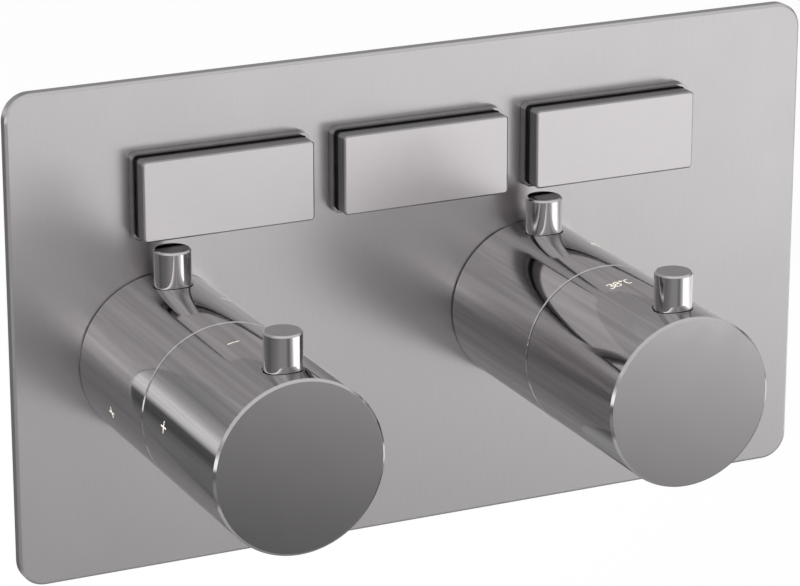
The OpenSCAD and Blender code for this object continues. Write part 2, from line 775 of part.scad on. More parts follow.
// Threaded hole for a grub screw, from the axis out through the underside
module grub_hole(x, place) {
    translate([x, control_z, place]) rotate([90, 0, 0]) cylinder(d = grub_d, h = knob_r + cut);
}

// Grub screw with a hexagon socket, from a spindle towards the underside
module grub_screw(x, place, low) {
    translate([x, control_z, place]) rotate([90, 0, 0]) difference() {
        translate([0, 0, low]) cylinder(d = grub_d, h = grub_len);
        translate([0, 0, low + grub_len - grub_d / 2]) cylinder(d = grub_d / 2, h = grub_d, $fn = 6);
    }
}

// Limit sleeve behind a cartridge's shoulder: a flange, a tube and flats for the ring
module limit_sleeve(x, shoulder) {
    front = shoulder - seat_gap;
    difference() {
        union() {
            drum(x, control_z, flange_d, front - flange_t, front);
            drum(x, control_z, sleeve_d, front - flange_t, web_back - seat_gap);
            flat_bar(x, control_z, sleeve_d, sleeve_flats, web_back - seat_gap - cut, web_front);
        }
        drum(x, control_z, spindle_d + 2 * running_gap, front - flange_t - cut, web_front + cut);
    }
}

// Inner spindle from a place out to the handle, with flats for the handle's hub
module inner_spindle(x, low) {
    drum(x, control_z, spindle_d, low, hub_back - seat_gap);
    flat_bar(x, control_z, spindle_d, spindle_flats, hub_back - seat_gap - cut, spindle_front);
}

// Port of a ceramic disc, as a row of round holes to one side of the axis
disc_port_d = 4;
disc_port_r = 8.6;
module disc_ports(x, low, high, turn) {
    for (a = [-30 : 30 : 30])
        translate([x, control_z, 0]) rotate(turn + a)
            drum(disc_port_r, 0, disc_port_d, low - cut, high + cut);
}

// Ceramic disc with two ports opposite each other
module disc(low, turn) {
    difference() {
        drum(left_x, control_z, flange_d, low, low + disc_t);
        for (side = [0, 180]) disc_ports(left_x, low, low + disc_t, turn + side);
    }
}

// Outside of a control cartridge, down to its pocket's end
module cartridge_shell(x) {
    drum(x, control_z, cart_d, pocket_end, step + cart_flange_t);
    drum(x, control_z, mouth_d - 2 * running_gap, step, step + cart_flange_t);
    drum(x, control_z, cart_neck_d, step, cart_neck_reach);
}

channel_depth = 1.4;
channel_w = 5;
window_d = 4;
cord_groove_w = ring_cord_d * 1.2;
cord_groove_depth = ring_cord_d;
front_cord = step - ring_cord_d;
flow_cord_places = [front_cord, -(cold_set + mixed_set) / 2];
thermo_cord_places = [front_cord, -(cold_set + hot_set) / 2, -(hot_set + mixed_set) / 2];

// Grooves for cord rings at a list of places
module cord_grooves(x, places) {
    for (p = places)
        groove(x, control_z, cart_d, cord_groove_depth, p - cord_groove_w / 2, p + cord_groove_w / 2);
}

// A water channel: a turned groove with holes to the inside
module water_channel(x, set) {
    groove(x, control_z, cart_d, channel_depth, -set - channel_w / 2, channel_w / 2 - set);
    windows(x, control_z, window_d, cart_d, -set, 4);
}

// Bores of a control cartridge: its chamber behind the shoulder, and the way of its sleeve
module cartridge_bores(x, shoulder, chamber_back, tail_d) {
    drum(x, control_z, sleeve_d + 2 * running_gap, shoulder - cut, cart_neck_reach + cut);
    drum(x, control_z, cart_bore_d, chamber_back, shoulder);
    drum(x, control_z, tail_d, pocket_end - cut, chamber_back + cut);
}

// Flow cartridge
module flow_cartridge() color(plastic) wall() difference() {
    cartridge_shell(left_x);
    cartridge_bores(left_x, flow_shoulder, seal_back, seal_bore_d);
    water_channel(left_x, cold_set);
    water_channel(left_x, mixed_set);
    cord_grooves(left_x, flow_cord_places);
}

module flow_base_seal() color(black) wall() difference() {
    drum(left_x, control_z, flange_d, seal_back, fixed_disc_back);
    drum(left_x, control_z, seal_bore_d, seal_back - cut, fixed_disc_back + cut);
}

module flow_limit_sleeve() color(brass) wall() limit_sleeve(left_x, flow_shoulder);

module flow_spindle() color(brass) wall() {
    inner_spindle(left_x, drive_back);
    drum(left_x, control_z, flange_d, drive_back, drive_front);
}

module flow_moving_disc() color(ceramic) wall() disc(moving_disc_back, 90);
module flow_fixed_disc() color(ceramic) wall() disc(fixed_disc_back, 0);

// Retaining nut with the neck sleeve that the ring's bush sits on
hex_turn = 30;
module retaining_nut(x) difference() {
    union() {
        drum(x, control_z, mouth_d - 2 * running_gap, step + cart_flange_t, mouth + nut_t / 2);
        hex_bar(x, control_z, nut_flats, hex_turn, mouth, mouth + nut_t);
        bevel_drum(x, control_z, neck_d, 0, seam_bevel, mouth, neck_reach);
    }
    drum(x, control_z, cart_neck_d + 2 * running_gap, step, cart_neck_reach + seat_gap);
    drum(x, control_z, sleeve_d + 4 * seat_gap, cart_neck_reach, neck_reach + cut);
}
module flow_retaining_nut() color(brass) wall() retaining_nut(left_x);
module thermostat_retaining_nut() color(brass) wall() retaining_nut(right_x);

// Plastic bushes on the neck sleeves, on which the rings turn
bush_inset = 6;
bush_back = plate_front + bush_inset;
module ring_bushes() color(plastic) wall()
    for (x = [left_x, right_x]) difference() {
        drum(x, control_z, knob_bore_d - 2 * running_gap, bush_back, bush_back + bush_len);
        drum(x, control_z, neck_d, bush_back - cut, bush_back + bush_len + cut);
    }

// Rubber seals between the cover plate and the neck sleeves
module neck_seals() color(black) wall()
    for (x = [left_x, right_x]) difference() {
        union() {
            drum(x, control_z, neck_hole_d, gasket_proud, plate_front - seam_bevel);
            drum(x, control_z, neck_hole_d + 2 * neck_seal_w, gasket_proud - bezel_lip_t, gasket_proud);
        }
        drum(x, control_z, neck_d, gasket_proud - bezel_lip_t - cut, plate_front + cut);
    }

module flow_ring() color(chrome) wall() control_ring(left_x);
module limit_ring() color(chrome) wall() control_ring(right_x);
module flow_handle() color(chrome) wall() control_handle(left_x);
module temperature_handle() color(chrome) wall() control_handle(right_x);
module flow_ring_lever() color(chrome) wall() lever(left_x, rear_lever_place);
module limit_ring_lever() color(chrome) wall() lever(right_x, rear_lever_place);
module flow_handle_lever() color(chrome) wall() lever(left_x, front_lever_place);
module temperature_handle_lever() color(chrome) wall() lever(right_x, front_lever_place);
module flow_ring_grub_screw() color(steel) wall()
    grub_screw(left_x, ring_grub_place, sleeve_d / 2 + running_gap);
module limit_ring_grub_screw() color(steel) wall()
    grub_screw(right_x, ring_grub_place, sleeve_d / 2 + running_gap);
module flow_handle_grub_screw() color(steel) wall()
    grub_screw(left_x, handle_grub_place, spindle_d / 2 + running_gap);
module temperature_handle_grub_screw() color(steel) wall()
    grub_screw(right_x, handle_grub_place, spindle_d / 2 + running_gap);

// Thermostat
module temperature_limit_sleeve() color(brass) wall() limit_sleeve(right_x, thermo_shoulder);
module temperature_spindle() color(brass) wall() inner_spindle(right_x, thermo_spindle_back);

module thermostat_cartridge() color(plastic) wall() difference() {
    cartridge_shell(right_x);
    cartridge_bores(right_x, thermo_shoulder, return_back, seal_bore_d);
    for (set = [cold_set, hot_set, mixed_set]) water_channel(right_x, set);
    cord_grooves(right_x, thermo_cord_places);
}

module setting_nut() color(brass) wall() difference() {
    drum(right_x, control_z, setting_d, setting_back, setting_front);
    drum(right_x, control_z, spindle_d + 2 * running_gap, setting_back, setting_front + cut);
    drum(right_x, control_z, setting_bore_d, setting_back - cut, setting_front - setting_wall);
}

module overload_spring() color(steel) wall()
    translate([right_x, control_z, wax_collar_front])
        coil(overload_coil_r, overload_wire_d, overload_curls,
            setting_front - setting_wall - wax_collar_front, "overload spring");

module wax_element() color(orange) wall() {
    bevel_drum(right_x, control_z, wax_bulb_d, wax_bulb_d / 6, 0, wax_back, wax_collar_front);
    drum(right_x, control_z, wax_collar_d, setting_back, wax_collar_front);
    bevel_drum(right_x, control_z, wax_pin_d, 0, wax_pin_d / 8, wax_collar_front,
        thermo_spindle_back - 2 * seat_gap);
}

// Shuttle between the hot and the cold seat, carried on the wax element by four spokes
module mixing_shuttle() color(plastic) wall() difference() {
    union() {
        difference() {
            drum(right_x, control_z, shuttle_d, shuttle_back, shuttle_front);
            drum(right_x, control_z, shuttle_d - 2 * shuttle_wall, shuttle_back - cut, shuttle_front + cut);
        }
        drum(right_x, control_z, wax_bulb_d + 2 * shuttle_wall, shuttle_back + spoke_t, shuttle_front);
        for (turn = [0, 90])
            translate([right_x, control_z, 0]) rotate(turn)
                block(0, 0, shuttle_d - shuttle_wall, spoke_t, spoke_t / 4,
                    shuttle_back + spoke_t, shuttle_front);
    }
    drum(right_x, control_z, wax_bulb_d, shuttle_back - cut, shuttle_front + cut);
}

module return_spring() color(steel) wall()
    translate([right_x, control_z, return_back])
        coil(return_coil_r, return_wire_d, return_curls, return_spring_len, "return spring");

// Cord rings in the grooves of both control cartridges
module cartridge_o_rings() color(black) wall() {
    for (p = flow_cord_places) cord_ring(left_x, control_z, pocket_bore_d, ring_cord_d, p);
    for (p = thermo_cord_places) cord_ring(right_x, control_z, pocket_bore_d, ring_cord_d, p);
}

// A channel in the body, as a straight bar or bore along the wall
module level_bar(low_x, high_x, z, set, d) {
    translate([low_x, z, -set]) rotate([0, 90, 0]) cylinder(d = d, h = high_x - low_x);
}

// An upright bar or bore
module upright_bar(x, low_z, high_z, set, d) {
    translate([x, low_z, -set]) rotate([-90, 0, 0]) cylinder(d = d, h = high_z - low_z);
}

// A lug at the end of an arm, at an angle from an axis
module lug(x, z, turn, start, reach) {
    translate([x, z, lug_back]) rotate(turn) {
        translate([start, -lug_d * 0.35, 0]) cube([reach - start, lug_d * 0.7, lug_t]);
        translate([reach, 0, 0]) cylinder(d = lug_d, h = lug_t);
    }
}

module body_outside() {
    for (x = [left_x, right_x]) drum(x, control_z, pocket_d, pocket_end - pocket_floor, mouth);
    for (x = button_xs) {
        drum(x, button_z, push_pocket_d, push_mouth - push_pocket_depth - pocket_floor, push_mouth);
        upright_bar(x, button_z, outlet_face_z, outlet_set, port_d);
        upright_bar(x, manifold_z, button_z, push_feed_set, push_feed_d + 2 * channel_wall);
    }
    upright_bar(left_x, control_z, manifold_z + channel_wall, cold_set, exit_bore_d + 2 * channel_wall);
    level_bar(left_x - manifold_d / 2, button_right_x + manifold_d / 2, manifold_z, manifold_set, manifold_d);
    level_bar(left_x, right_x, control_z, mixed_set, mixed_d);
    level_bar(hot_x, cold_x, control_z, inlet_set, supply_d);
    for (x = [hot_x, cold_x]) upright_bar(x, -inlet_face_z, control_z + port_d / 2, inlet_set, port_d);
    lug(left_x, control_z, flow_lug_turn, lug_start, lug_reach);
    lug(right_x, control_z, thermo_lug_turn, lug_start, lug_reach);
    for (x = upper_lug_xs) lug(x, manifold_z, 90, 0, upper_lug_z - manifold_z);
}

module valve_body() color(brass) wall() difference() {
    body_outside();
    for (x = [left_x, right_x]) {
        drum(x, control_z, mouth_d, step, mouth + cut);
        drum(x, control_z, pocket_bore_d, pocket_end, step + cut);
    }
    for (x = button_xs) {
        drum(x, button_z, push_bore_d, push_mouth - push_pocket_depth, push_mouth + cut);
        upright_bar(x, button_z, outlet_face_z - outlet_thread_depth + cut, outlet_set, outlet_bore_d);
        upright_bar(x, outlet_face_z - outlet_thread_depth, outlet_face_z + cut, outlet_set, thread_d);
        upright_bar(x, manifold_z, button_z, push_feed_set, push_feed_d);
    }
    level_bar(left_x, button_right_x, manifold_z, manifold_set, manifold_bore_d);
    upright_bar(left_x, control_z, manifold_z, cold_set, exit_bore_d);
    level_bar(left_x, right_x, control_z, mixed_set, mixed_bore_d);
    level_bar(hot_x, right_x, control_z, hot_set, supply_bore_d);
    level_bar(right_x, cold_x, control_z, cold_set, supply_bore_d);
    for (x = [hot_x, cold_x]) {
        upright_bar(x, -inlet_face_z - cut, thread_depth - inlet_face_z, inlet_set, thread_d);
        upright_bar(x, thread_depth - inlet_face_z - cut, check_top, inlet_set, check_d + 2 * running_gap);
        upright_bar(x, check_top - cut, control_z + supply_bore_d, inlet_set, inlet_bore_d);
    }
    for (p = lug_places) drum(p.x, p.y, screw_d + 2 * seat_gap, lug_back - cut, lug_back + lug_t + cut);
}

// Check valve housing: a seat below, a poppet guide above
check_seat_t = 2;
guide_t = 2;
guide_bar = 2.4;
stem_d = 3;
poppet_t = 2.4;
module check_valve(x) {
    difference() {
        upright_bar(x, check_low, check_top, inlet_set, check_d);
        upright_bar(x, check_low + check_seat_t, check_top + cut, inlet_set, check_d - 2 * check_wall);
        upright_bar(x, check_low - cut, check_top, inlet_set, check_seat_d);
    }
    translate([x, check_top - guide_t, -inlet_set]) rotate([-90, 0, 0]) difference() {
        for (turn = [0, 90]) rotate(turn)
            block(0, 0, check_d - check_wall, guide_bar, guide_bar / 4, 0, guide_t);
        translate([0, 0, -cut]) cylinder(d = stem_d + 2 * running_gap, h = guide_t + 2 * cut);
    }
    difference() {
        upright_bar(x, check_top - guide_t, check_top, inlet_set, stem_d + 2 * guide_bar);
        upright_bar(x, check_top - guide_t - cut, check_top + cut, inlet_set, stem_d + 2 * running_gap);
    }
}
module check_valves() color(plastic) wall() for (x = [hot_x, cold_x]) check_valve(x);

// Poppet with its stem and stop collar, at rest just above the seat
poppet_low = check_low + check_seat_t + running_gap;
stop_top = check_top - guide_t - poppet_travel;
stop_t = 1.5;
stop_d = stem_d * 1.6;
module poppet(x) {
    upright_bar(x, poppet_low, poppet_low + poppet_t, inlet_set, poppet_d);
    upright_bar(x, poppet_low, check_top, inlet_set, stem_d);
    upright_bar(x, stop_top - stop_t, stop_top, inlet_set, stop_d);
}
module hot_poppet() color(plastic) wall() poppet(hot_x);
module cold_poppet() color(plastic) wall() poppet(cold_x);

check_wire_d = 0.7;
check_coil_r = 3.6;
check_curls = 5;
module check_valve_springs() color(steel) wall()
    for (x = [hot_x, cold_x])
        translate([x, poppet_low + poppet_t, -inlet_set]) rotate([-90, 0, 0])
            coil(check_coil_r, check_wire_d, check_curls,
                check_top - guide_t - poppet_low - poppet_t, "check valve springs");

// Strainer: a disc with two rings of holes in front of each check valve
strainer_hole_d = 2.2;
module strainer(x)
    translate([x, check_low - strainer_t, -inlet_set]) rotate([-90, 0, 0]) difference() {
        cylinder(d = check_d, h = strainer_t);
        for (r = [check_d / 6, check_d / 3])
            let (count = round(2 * PI * r / (1.7 * strainer_hole_d)))
            for (i = [0 : count - 1])
                rotate(i * 360 / count) translate([r, 0, -cut])
                    cylinder(d = strainer_hole_d, h = strainer_t + 2 * cut, $fn = 24);
    }
module inlet_strainers() color(steel) wall() for (x = [hot_x, cold_x]) strainer(x);

// A slot for a connection, open to the front, through the box's wall at one side
module port_slot(x, low_z, high_z, set, d, front) {
    upright_bar(x, low_z, high_z, set, d);
    translate([x - d / 2, low_z, -set]) cube([d, high_z - low_z, set + front]);
}

box_top = box_z + box_h / 2;
box_low = box_z - box_h / 2;
slot_w = port_d + 2 * grommet_t;
module port_slots(over, d, front) {
    for (x = button_xs) port_slot(x, box_top - box_wall - over, box_top + over, outlet_set, d, front);
    for (x = [hot_x, cold_x]) port_slot(x, box_low - over, box_low + box_wall + over, inlet_set, d, front);
}

// Panels in the box's back, and ribs under its flange
panel_w = (2 * fix_x - 4 * fix_hole_d + panel_rib) / panel_columns - panel_rib;
panel_h = (box_h - 5 * panel_rib) / 2;
module box_rib(x, z, w, h) {
    block(x, z, w, h, rib_t / 4, -box_depth * rib_share, -box_set - box_flange_t / 2);
}
module box_ribs() {
    for (x = [-box_w / 2 + box_wall / 2 - rib_proud / 2, box_w / 2 - box_wall / 2 + rib_proud / 2])
        for (side = [-1, 0, 1]) box_rib(x, box_z + side * box_h / 4, box_wall + rib_proud, rib_t);
    for (x = upper_lug_xs)
        box_rib(x, box_top - box_wall / 2 + rib_proud / 2, rib_t, box_wall + rib_proud);
    for (x = [left_x, right_x])
        box_rib(x, box_low + box_wall / 2 - rib_proud / 2, rib_t, box_wall + rib_proud);
}

module wall_box() color(box_blue) wall() difference() {
    union() {
        difference() {
            union() {
                block(0, box_z, box_w, box_h, box_corner_r, -box_depth, -box_set);
                block(0, box_z, box_w + 2 * box_flange, box_h + 2 * box_flange,
                    box_corner_r + box_flange, -box_set - box_flange_t, -box_set);
            }
            block(0, box_z, box_w - 2 * box_wall, box_h - 2 * box_wall,
                box_corner_r - box_wall, box_floor - box_depth, cut);
        }
        box_ribs();
        for (p = lug_places) drum(p.x, p.y, lug_d * 0.8, -box_depth, lug_back);
        for (p = post_places) drum(p.x, p.y, post_d, -box_depth, frame_back);
        for (p = fix_places) drum(p.x, p.y, fix_hole_d * 2, -box_depth, box_floor * 2 - box_depth);
    }
    for (p = fix_places) drum(p.x, p.y, fix_hole_d, -box_depth - cut, box_floor * 2 - box_depth + cut);
    for (p = lug_places)
        drum(p.x, p.y, screw_d, lug_back + lug_t - screw_len - seat_gap, lug_back + cut);
    for (p = post_places) drum(p.x, p.y, screw_d, -frame_set - screw_len - seat_gap, frame_back + cut);
    port_slots(box_flange + cut, slot_w, cut);
    for (column = [0 : panel_columns - 1]) for (side = [-1, 1])
        block((column - (panel_columns - 1) / 2) * (panel_w + panel_rib),
            box_z + side * (panel_h + panel_rib) / 2, panel_w, panel_h, panel_rib / 2,
            -box_depth - cut, panel_depth - box_depth);
}

// Rubber grommets that close the slots round the connections
module port_grommets() color(black) wall() difference() {
    intersection() {
        port_slots(0, slot_w, -box_set - box_flange_t);
        block(0, box_z, box_w, box_h, box_corner_r, -box_depth, -box_set - box_flange_t);
    }
    for (x = button_xs) upright_bar(x, box_low, box_top + cut, outlet_set, port_d);
    for (x = [hot_x, cold_x]) upright_bar(x, box_low - cut, box_top, inlet_set, port_d);
}

// Steel frame that carries the cover plate on the box's posts
module mounting_frame() color(steel) wall() difference() {
    block(0, box_z, box_w - 2 * (box_wall + frame_gap), box_h - 2 * (box_wall + frame_gap),
        box_corner_r - box_wall, frame_back, -frame_set);
    for (x = [left_x, right_x])
        drum(x, control_z, nut_flats / cos(30) + 2 * frame_gap, frame_back - cut, cut - frame_set);
    for (x = button_xs)
        block(x, button_z, bezel_w + 2 * frame_gap, bezel_h + 2 * frame_gap,
            bezel_corner_r + frame_gap, frame_back - cut, cut - frame_set);
    for (p = stud_places) drum(p.x, p.y, grip_neck_d, frame_back - cut, cut - frame_set);
    for (p = post_places) drum(p.x, p.y, screw_d + 2 * seat_gap, frame_back - cut, cut - frame_set);
}
grip_wall = 0.8;
grip_neck_d = stud_d + 2 * grip_wall;
frame_gap = 1;

// Rubber grips in the frame, which hold the cover plate's studs
module stud_grips() color(black) wall() for (p = stud_places) difference() {
    union() {
        drum(p.x, p.y, grip_neck_d, frame_back, -frame_set);
        drum(p.x, p.y, grip_d, -frame_set, grip_lip_t - frame_set);
        drum(p.x, p.y, grip_d, frame_back - grip_lip_t, frame_back);
    }
    drum(p.x, p.y, stud_d, frame_back - grip_lip_t - cut, grip_lip_t - frame_set + cut);
}

// Pan-head screw with a cross recess
module screw(p, seat) {
    difference() {
        union() {
            bevel_drum(p.x, p.y, screw_head_d, 0, screw_head_h / 3, seat, seat + screw_head_h);
            bevel_drum(p.x, p.y, screw_d, screw_d / 5, 0, seat - screw_len, seat);
        }
        for (turn = [0, 90])
            translate([p.x, p.y, seat + screw_head_h / 2]) rotate(turn)
                translate([-screw_d / 2, -screw_d / 8, 0]) cube([screw_d, screw_d / 4, screw_head_h]);
    }
}
module fixing_screws() color(steel) wall() {
    for (p = lug_places) screw(p, lug_back + lug_t);
    for (p = post_places) screw(p, -frame_set);
}

module button_bezel_left() button_bezel(button_left_x);
module button_bezel_centre() button_bezel(button_row_x);
module button_bezel_right() button_bezel(button_right_x);
module button_cap_left() button_cap(button_left_x);
module button_cap_centre() button_cap(button_row_x);
module button_cap_right() button_cap(button_right_x);
module button_skirt_left() button_skirt(button_left_x);
module button_skirt_centre() button_skirt(button_row_x);
module button_skirt_right() button_skirt(button_right_x);
module push_rod_left() push_rod(button_left_x);
module push_rod_centre() push_rod(button_row_x);
module push_rod_right() push_rod(button_right_x);
module push_valve_left() push_valve(button_left_x);
module push_valve_centre() push_valve(button_row_x);
module push_valve_right() push_valve(button_right_x);

cover_plate();
plate_gasket();
button_bezel_left();
button_bezel_centre();
button_bezel_right();
button_cap_left();
button_cap_centre();
button_cap_right();
button_skirt_left();
button_skirt_centre();
button_skirt_right();
push_rod_left();
push_rod_centre();
push_rod_right();
push_springs();
push_valve_left();
push_valve_centre();
push_valve_right();
flow_ring();
flow_ring_lever();
flow_ring_grub_screw();
flow_handle();
flow_handle_lever();
flow_handle_grub_screw();
flow_limit_sleeve();
flow_spindle();
flow_cartridge();
flow_retaining_nut();
flow_moving_disc();
flow_fixed_disc();
flow_base_seal();
limit_ring();
limit_ring_lever();
limit_ring_grub_screw();
temperature_handle();
temperature_handle_lever();
temperature_handle_grub_screw();
temperature_limit_sleeve();
temperature_spindle();
thermostat_cartridge();
thermostat_retaining_nut();
setting_nut();
overload_spring();
wax_element();
mixing_shuttle();
return_spring();
ring_bushes();
neck_seals();
valve_body();
check_valves();
check_valve_springs();
hot_poppet();
cold_poppet();
inlet_strainers();
wall_box();
port_grommets();
mounting_frame();
stud_grips();
fixing_screws();
cartridge_o_rings();
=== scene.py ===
import json
import math

import bpy
import numpy as np
from bpy.props import FloatProperty, FloatVectorProperty, IntProperty, PointerProperty
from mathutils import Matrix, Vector


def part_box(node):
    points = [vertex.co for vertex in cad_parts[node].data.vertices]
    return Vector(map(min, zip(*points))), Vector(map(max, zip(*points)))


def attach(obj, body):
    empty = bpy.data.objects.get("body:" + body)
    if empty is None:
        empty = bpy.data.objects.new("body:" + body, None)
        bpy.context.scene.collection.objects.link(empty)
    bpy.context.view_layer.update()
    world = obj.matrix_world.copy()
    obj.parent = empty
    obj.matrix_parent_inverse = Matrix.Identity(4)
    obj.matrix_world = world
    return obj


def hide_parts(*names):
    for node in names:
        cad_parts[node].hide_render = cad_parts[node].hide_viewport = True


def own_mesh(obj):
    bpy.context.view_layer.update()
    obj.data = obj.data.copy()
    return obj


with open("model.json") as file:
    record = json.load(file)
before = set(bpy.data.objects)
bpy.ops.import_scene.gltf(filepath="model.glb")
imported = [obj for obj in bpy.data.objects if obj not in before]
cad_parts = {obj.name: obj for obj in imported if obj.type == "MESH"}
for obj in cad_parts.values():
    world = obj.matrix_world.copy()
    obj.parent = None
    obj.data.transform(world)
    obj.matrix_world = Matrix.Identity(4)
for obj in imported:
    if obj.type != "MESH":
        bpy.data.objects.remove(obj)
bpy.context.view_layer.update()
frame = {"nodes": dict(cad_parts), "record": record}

bl_info = {
    "name": "Thermostatic shower valve",
    "version": (1, 0, 0),
    "blender": (4, 5, 0),
    "location": "View3D > Sidebar > Shower valve",
    "description": "Finishes, marks, port threads, springs and studio for a concealed shower valve",
    "category": "Object",
}

MM = 0.001
BUTTONS = ("left", "centre", "right")
KNOBS = ("flow_ring", "flow_handle", "limit_ring", "temperature_handle")


# Colours and nodes


def linear(code):
    """The linear colour of an sRGB hex value: each channel c becomes c/12.92 below 0.04045 and
    ((c + 0.055) / 1.055) ** 2.4 above it."""
    srgb = np.array([int(code[i : i + 2], 16) for i in (1, 3, 5)]) / 255
    low = srgb <= 0.04045
    return tuple(np.where(low, srgb / 12.92, ((srgb + 0.055) / 1.055) ** 2.4)) + (1.0,)


def dimmed(colour, share=1.0):
    """A setting's colour with its alpha, times a share or times one share for each channel."""
    return (*(np.array(colour) * share), 1.0)


def feed(tree, node, **feeds):
    """Gives a node's inputs their values or links. A feed is a value or another node's socket, by
    the input's name with an underscore for each space, or by i0, i1 and so on for its number."""
    for key, value in feeds.items():
        numbered = key[0] == "i" and key[1:].isdigit()
        socket = node.inputs[int(key[1:]) if numbered else key.replace("_", " ")]
        if isinstance(value, bpy.types.NodeSocket):
            tree.links.new(value, socket)
        else:
            socket.default_value = value


def put(tree, kind, settings=None, stops=(), **feeds):
    """Adds one node with its settings and feeds. The stops of a colour ramp are pairs of a position
    and a grey level or colour."""
    node = tree.nodes.new(kind)
    for key, value in (settings or {}).items():
        setattr(node, key, value)
    if stops:
        marks = node.color_ramp.elements
        while len(marks) < len(stops):
            marks.new(1.0)
        for mark, (position, value) in zip(marks, stops):
            mark.position = position
            mark.color = value if isinstance(value, tuple) else (value, value, value, 1.0)
    feed(tree, node, **feeds)
    return node


def surface(name, **plain):
    """A new material with its Principled shader, which gets the plain values, and its Object
    coordinates."""
    material = bpy.data.materials.new(name)
    material.use_nodes = True
    tree = material.node_tree
    shader = tree.nodes["Principled BSDF"]
    feed(tree, shader, **plain)
    return material, tree, shader, put(tree, "ShaderNodeTexCoord").outputs["Object"]


def speckle(tree, coords, size_mm, detail=3.0, rough=0.5, drawn=None):
    """A noise pattern of 0 to 1 with features of about size_mm. drawn holds a share for each axis, and
    a small share draws the features out along its axis."""
    if drawn:
        coords = put(tree, "ShaderNodeMapping", Vector=coords, Scale=drawn).outputs[0]
    scale = 1 / (size_mm * MM)
    noise = put(tree, "ShaderNodeTexNoise", Vector=coords, Scale=scale, Detail=detail, Roughness=rough)
    return noise.outputs[0]


def past_front(tree, coords, node, start_mm, end_mm):
    """A mask that is 0 on a CAD node's front face and 1 on its sides: it rises with Y from start_mm
    to end_mm behind the front."""
    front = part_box(node)[0].y
    reach = put(tree, "ShaderNodeSeparateXYZ", Vector=coords).outputs["Y"]
    start, end = front + start_mm * MM, front + end_mm * MM
    return put(tree, "ShaderNodeMapRange", Value=reach, From_Min=start, From_Max=end).outputs[0]


# Most of a noise pattern lies in this range.
NOISE_LOW, NOISE_HIGH = 0.3, 0.7


def wear(tree, shader, gloss, roughness, tone=None, colours=None):
    """Feeds the shader's roughness and colour from patterns of 0 to 1, and gives back the sockets that
    feed them. The noise range of gloss runs from the first roughness to the second. The middle half
    of tone, where there is one, blends the first colour into the second."""
    spread = put(
        tree, "ShaderNodeMapRange", {"clamp": False}, Value=gloss,
        From_Min=NOISE_LOW, From_Max=NOISE_HIGH, To_Min=roughness[0], To_Max=roughness[1],
    )
    feeds = {"Roughness": spread.outputs[0]}
    if tone is not None:
        blend = put(tree, "ShaderNodeValToRGB", stops=[(0.25, colours[0]), (0.75, colours[1])], Fac=tone)
        blend.color_ramp.interpolation = "EASE"
        feeds["Base_Color"] = blend.outputs[0]
    feed(tree, shader, **feeds)
    return feeds


def ease_edges(tree, shader, radius_mm, height=None, strength=0.0, depth_mm=0.0):
    """Rounds the look of sharp edges by radius_mm, and lays a height pattern over it where there is
    one."""
    normal = put(tree, "ShaderNodeBevel", {"samples": 4}, Radius=radius_mm * MM).outputs[0]
    if height is not None:
        depth = depth_mm * MM
        normal = put(
            tree, "ShaderNodeBump", Strength=strength, Distance=depth, Height=height, Normal=normal
        ).outputs[0]
    feed(tree, shader, Normal=normal)


# Finishes


def polished_chrome(look):
    """Electroplated chrome on polished brass: a cool bright mirror with a faint orange peel of a few
    millimetres and wiped patches that are a little duller."""
    material, tree, shader, coords = surface(
        "polished_chrome", Metallic=1.0, Base_Color=dimmed(look.chrome_colour)
    )
    wiped = speckle(tree, coords, size_mm=9.0, detail=4.0, rough=0.6)
    wear(tree, shader, gloss=wiped, roughness=(0.035, 0.075))
    peel = speckle(tree, coords, size_mm=2.5)
    ease_edges(tree, shader, radius_mm=0.25, height=peel, strength=0.05, depth_mm=0.004)
    return material


def drawn_chrome(look):
    """Chrome on drawn brass tube: faint darker streaks, about 2 mm wide, run along the knobs' axis in its
    colour, a painted reflection of bands of light, and lie on it as a faint bump too. The flat fronts,
    level with each other, were polished and have none."""
    material, tree, shader, coords = surface("drawn_chrome", Metallic=1.0)
    lines = speckle(tree, coords, size_mm=2.2, detail=4.0, rough=0.62, drawn=(1.0, 0.02, 1.0))
    side = past_front(tree, coords, "flow_handle", start_mm=0.4, end_mm=0.8)
    front_tone = 0.62
    # Painted reflection: on the knobs' sides the colour runs in darker streaks along the axis, like
    # mirrored bands of light. The fronts get one even tone.
    reflection_streaks = put(tree, "ShaderNodeMix", Factor=side, A=front_tone, B=lines).outputs[0]
    wiped = speckle(tree, coords, size_mm=9.0, detail=4.0, rough=0.6)
    chromes = dimmed(look.chrome_colour, 0.72), dimmed(look.chrome_colour)
    wear(tree, shader, tone=reflection_streaks, colours=chromes, gloss=wiped, roughness=(0.04, 0.08))
    ease_edges(tree, shader, radius_mm=0.12, height=reflection_streaks, strength=0.05, depth_mm=0.01)
    return material


def satin_chrome_plate(look):
    """Chrome on a ground steel sheet: the plate's grinding, 0.4 mm apart and drawn a little coarser
    than it is, softens what it mirrors."""
    material, tree, shader, coords = surface("satin_chrome_plate", Metallic=1.0)
    lines = speckle(tree, coords, size_mm=0.4, detail=2.0, drawn=(1.0, 1.0, 0.04))
    wiped = speckle(tree, coords, size_mm=22.0, rough=0.55)
    chromes = dimmed(look.chrome_colour, 0.97), dimmed(look.chrome_colour)
    wear(tree, shader, tone=lines, colours=chromes, gloss=wiped, roughness=(0.285, 0.3))
    ease_edges(tree, shader, radius_mm=0.35, height=lines, strength=0.02, depth_mm=0.004)
    return material


def painted_shade_chrome(look):
    """Chrome on a pressed steel frame: a mirror whose colour is darkened, painted shade that draws a dark
    line round each button."""
    material, tree, shader, coords = surface("painted_shade_chrome", Metallic=1.0)
    cast = speckle(tree, coords, size_mm=6.0)
    # Painted shade: the frame's colour is only half to six tenths of the chrome's.
    chromes = dimmed(look.chrome_colour, 0.5), dimmed(look.chrome_colour, 0.6)
    wear(tree, shader, tone=cast, colours=chromes, gloss=cast, roughness=(0.1, 0.16))
    ease_edges(tree, shader, radius_mm=0.15, height=cast, strength=0.04, depth_mm=0.004)
    return material


